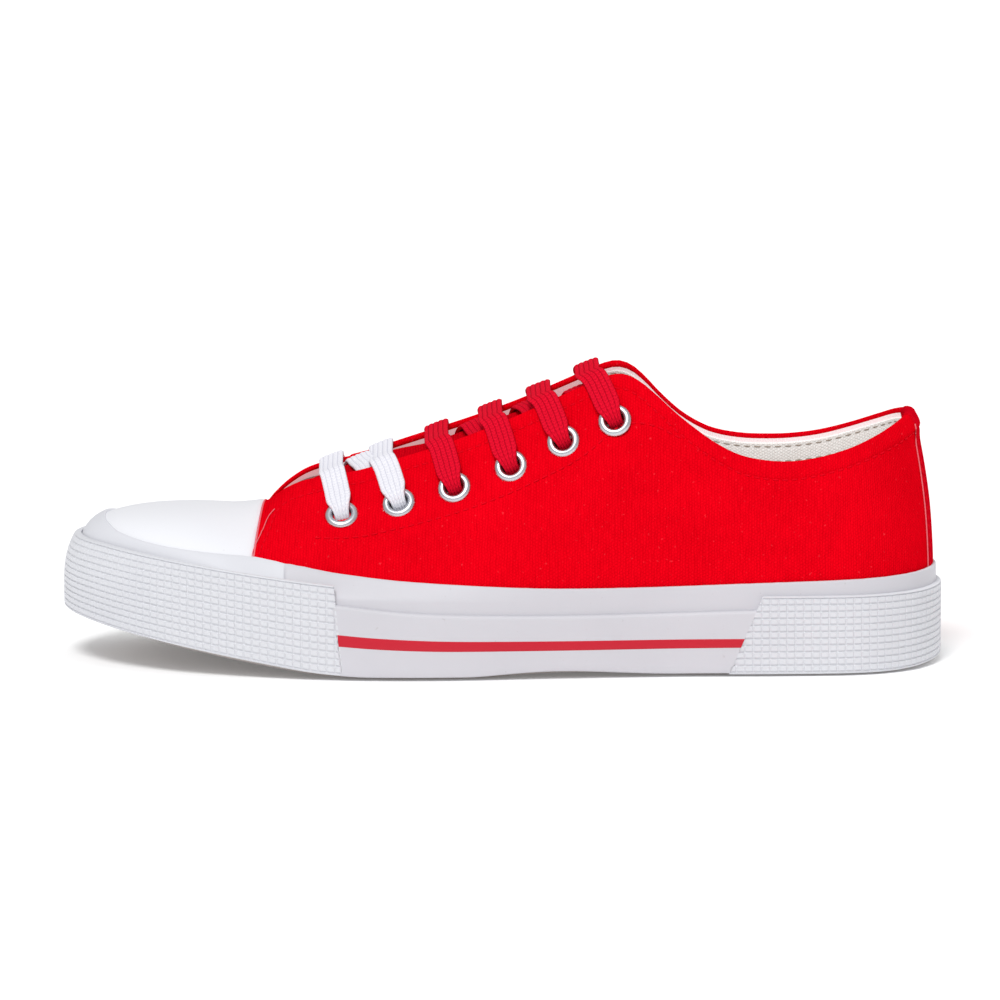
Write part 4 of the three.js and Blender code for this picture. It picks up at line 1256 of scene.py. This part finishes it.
def makeTongue():
    rings = []
    corner, length = tongue["corner"], tongue["rearX"] - tongue["frontX"]
    xs = list(np.linspace(tongue["frontX"], tongue["rearX"] - corner, 64)) + [
        tongue["rearX"] - corner + corner * math.sin(math.radians(a)) for a in range(9, 91, 9)]
    for x in xs:
        f = (x - tongue["frontX"]) / length
        half = lerp(tongue["frontHalf"], tongue["rearHalf"], math.sqrt(max(f, 0)))
        toEnd = tongue["rearX"] - x
        if toEnd < corner:
            half -= corner * (1 - math.sqrt(max(0, 1 - (1 - toEnd / corner) ** 2)))
        thick = tongue["thickness"] * (1 if toEnd > 1.2 else 0.55 + 0.45 * toEnd / 1.2)
        top, under = [], []
        for a in np.linspace(-1, 1, tongue["rows"]):
            offset = a * half
            z = tongueTop(x, offset)
            wave = tongue["waves"] * noise.noise(Vector((x * 0.08, offset * 0.09, 9)))
            z += wave - tongue["bulge"] * math.exp(-(offset / 9) ** 2)
            edge = (1 - abs(a) ** 24)
            dip = 0.18 * math.exp(-((abs(a) * half - (half - tongue["stitchIn"])) / 0.6) ** 2)
            y = spine.at("y", x) + offset
            top.append(Vector((x, y, z - dip - thick / 2 * (1 - edge))))
            under.append(Vector((x, y, z - thick + thick / 2 * (1 - edge))))
        rings.append(top + under[::-1])
    bm = gridOf(rings, closed=True, paint=lambda i, j: 0 if j < tongue["rows"] else 1, sharpAt=70)
    newPiece("tonguePad", bm, [tongueCanvasPaintedShade, liningCanvas], ["tongue"])


# eyelet section: radius and height over the canvas, from inside the barrel over the rolled rim
# to the back flange
eyeletProfile = [
    (3.3, -2.95), (2.85, -2.7), (2.74, -2.3), (2.72, -0.5), (2.8, 0.35), (3.0, 0.8), (3.35, 1.08), (3.8, 1.2),
    (4.3, 1.12), (4.75, 0.86), (5.05, 0.5), (5.15, 0.2), (5.05, 0.05), (4.2, 0.0), (3.2, -0.1), (3.1, -2.1),
    (4.6, -2.2), (5.25, -2.3), (5.3, -2.45), (5.1, -2.7), (4.3, -2.95),
]


def makeEyelets():
    for side in ("lateral", "medial"):
        for k, row in enumerate(eyeletPlaces):
            spot = eyeletSpot(side, row)
            bm = bmesh.new()
            verts = [bm.verts.new((r, 0, z)) for r, z in eyeletProfile]
            verts.append(verts[0])
            edges = [bm.edges.new((a, b)) for a, b in zip(verts[:-1], verts[1:])]
            bmesh.ops.spin(bm, geom=bm.verts[:] + edges, cent=(0, 0, 0), axis=(0, 0, 1), angle=2 * math.pi,
                           steps=40, use_merge=True)
            bmesh.ops.remove_doubles(bm, verts=bm.verts, dist=1e-4)
            bmesh.ops.recalc_face_normals(bm, faces=bm.faces)
            basis = frameAt(spot.origin, spot.up, spot.normal.cross(spot.up), spot.normal)
            bmesh.ops.transform(bm, matrix=basis, verts=bm.verts)
            for face in bm.faces:
                face.smooth = True
            newPiece(f"eyelet_{side}_{k + 1}_rim", bm, [nickel], [f"eyelet_{side}_{k + 1}"])


lace = dict(width=8.0, holeWidth=4.6, thickness=1.5, ribs=5, ribDepth=0.24, braid=1.3, braidDepth=0.045,
            whiteBars=2, barStep=0.42, runStep=0.5, relaxing=26, skew=0.04, runLift=1.2)


def laceLook(index):
    return (whiteLace, "white_lace") if index < lace["whiteBars"] else (redLace, "red_lace")


def smoothPath(points, steps):
    last = len(points) - 1
    return [curveBetween(*(points[min(max(i + k, 0), last)] for k in (-1, 0, 1, 2)), step / steps)
            for i in range(last) for step in range(steps)] + [points[-1]]


def relaxed(path, times):
    for _ in range(times):
        inside = [path[k] * 0.5 + (path[k - 1] + path[k + 1]) * 0.25 for k in range(1, len(path) - 1)]
        path = [path[0]] + inside + [path[-1]]
    return path


def evenPath(path, pitch):
    runs = runsOf(path)
    count = max(2, round(runs[-1] / pitch))
    at = np.linspace(0, runs[-1], count + 1)
    sides = [np.interp(at, runs, [p[k] for p in path]) for k in range(3)]
    return [Vector(p) for p in zip(*sides)], at


def braidPiece(name, path, run, widthAt, sideways, look, replaced=()):
    # a flat braid: lengthwise ribs with chevrons between them, on both faces
    stops = lace["ribs"] * 6
    rings, uvs = [], []
    for k, p in enumerate(path):
        ahead = headingAt(path, k)
        across = (sideways - ahead * sideways.dot(ahead)).normalized()
        out = ahead.cross(across).normalized()
        half = widthAt(k) / 2
        thick = lace["thickness"] * (lace["width"] / (2 * half)) ** 0.5
        ring, uvRow = [], []
        for side in (1, -1):
            for j in range(stops):
                f = j / stops if side == 1 else 1 - j / stops
                a = 2 * f - 1
                shape = (1 - abs(a) ** 5) ** 0.5
                rib = abs(math.sin(math.pi * f * lace["ribs"]))
                lean = abs((f * lace["ribs"]) % 1 - 0.5)
                weave = math.sin(2 * math.pi * (run[k] / lace["braid"] + lean))
                h = thick / 2 * shape + shape * (lace["ribDepth"] * (rib - 1) + lace["braidDepth"] * weave)
                ring.append(p + across * (a * half) + out * (h * side))
                uvRow.append((run[k], f * lace["ribs"]))
        rings.append(ring)
        uvs.append(uvRow + [uvRow[0]])
    bm = gridOf(rings, closed=True, uvs=uvs, sharpAt=89)
    newPiece(name, bm, look[:1], replaced)


def makeLaceBar(index):
    row = eyeletPlaces[index]
    spots = [eyeletSpot("lateral", row), eyeletSpot("medial", row)]
    middle = []
    offsets = [way * (spot.origin.y - spine.at("y", row["x"])) for way, spot in zip((-1, 1), spots)]
    for f in np.linspace(0.16, 0.84, 13):
        offset = lerp(-offsets[0], offsets[1], f)
        full = offsets[0] if offset < 0 else offsets[1]
        half = spine.at("throat", row["x"] - row["lean"]) - 0.5
        if offset < 0:
            x = row["x"] - row["lean"] * min(1, (full + offset) / (full - 0.85 * half))
        else:
            x = row["x"] - row["lean"] * (1 - smooth(offset, 1.15 * half, full))
        skewed = lace["skew"] * (offset + half) * smooth(offset, -half, 0)
        x -= skewed * (1 - smooth(offset, 1.2 * half, full))
        if abs(offset) < half:
            z = lerp(canvasHeight(x, -half), canvasHeight(x, half), (offset + half) / (2 * half))
            z += row["rise"] * (1 - (offset / half) ** 2)
        else:
            z = canvasHeight(x, offset)
        lifted = Vector((0, offset / 60, 1)).normalized() * row["lift"]
        middle.append(Vector((x, spine.at("y", x) + offset, z)) + lifted)
    ends = []
    for spot, near in zip(spots, (middle[0], middle[-1])):
        toward = (near - spot.origin)
        toward = (toward - spot.normal * toward.dot(spot.normal)).normalized()
        ends.append([
            spot.origin - spot.normal * 4.2 - toward * 1.3,
            spot.origin - spot.normal * 1.2 - toward * 0.8,
            spot.origin + spot.normal * 1.1 + toward * 0.5,
            spot.origin + spot.normal * 2.3 + toward * 3.4,
        ])
    points = ends[0] + middle + ends[1][::-1]
    path, run = evenPath(relaxed(smoothPath(points, 10), lace["relaxing"]), lace["barStep"])
    total = run[-1]

    def widthAt(k):
        end = min(run[k], total - run[k])
        return lerp(lace["holeWidth"], lace["width"], smooth(end, 4.5, 11.5))

    braidPiece(f"laceBar{index + 1}", path, run, widthAt, Vector((1, 0, 0.4)), laceLook(index),
               [f"lace_bar_{index + 1}"])


def makeLaceRun(start, end):
    # hidden runs from an inner eyelet to the next outer one, over the tongue
    a, b = eyeletSpot("medial", eyeletPlaces[start]), eyeletSpot("lateral", eyeletPlaces[end])
    points = [a.origin - a.normal * 3.6, a.origin - a.normal * 4.3 + a.up * 4]
    for f in np.linspace(0.25, 0.75, 7):
        base = a.origin.lerp(b.origin, f) - Vector((4 * math.sin(math.pi * f), 0, 0))
        offset = base.y - spine.at("y", base.x)
        points.append(Vector((base.x, base.y, tongueTop(base.x, offset) + lace["runLift"])))
    points += [b.origin - b.normal * 4.3 + b.up * 4, b.origin - b.normal * 3.6]
    path, run = evenPath(smoothPath(points, 8), lace["runStep"])
    braidPiece(f"laceRun{start + 1}", path, run, lambda k: lace["width"], Vector((1, 0.25, 0.4)),
               laceLook(start))


makeInsole()
makeTongue()
makeEyelets()
for index in range(len(eyeletPlaces)):
    makeLaceBar(index)
for start in (0, 2, 3, 4):
    makeLaceRun(start, start + 1)
print("insole, tongue, eyelets and laces made")


# ---- outsole ----

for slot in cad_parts["outsole"].material_slots:
    slot.material = soleRubber
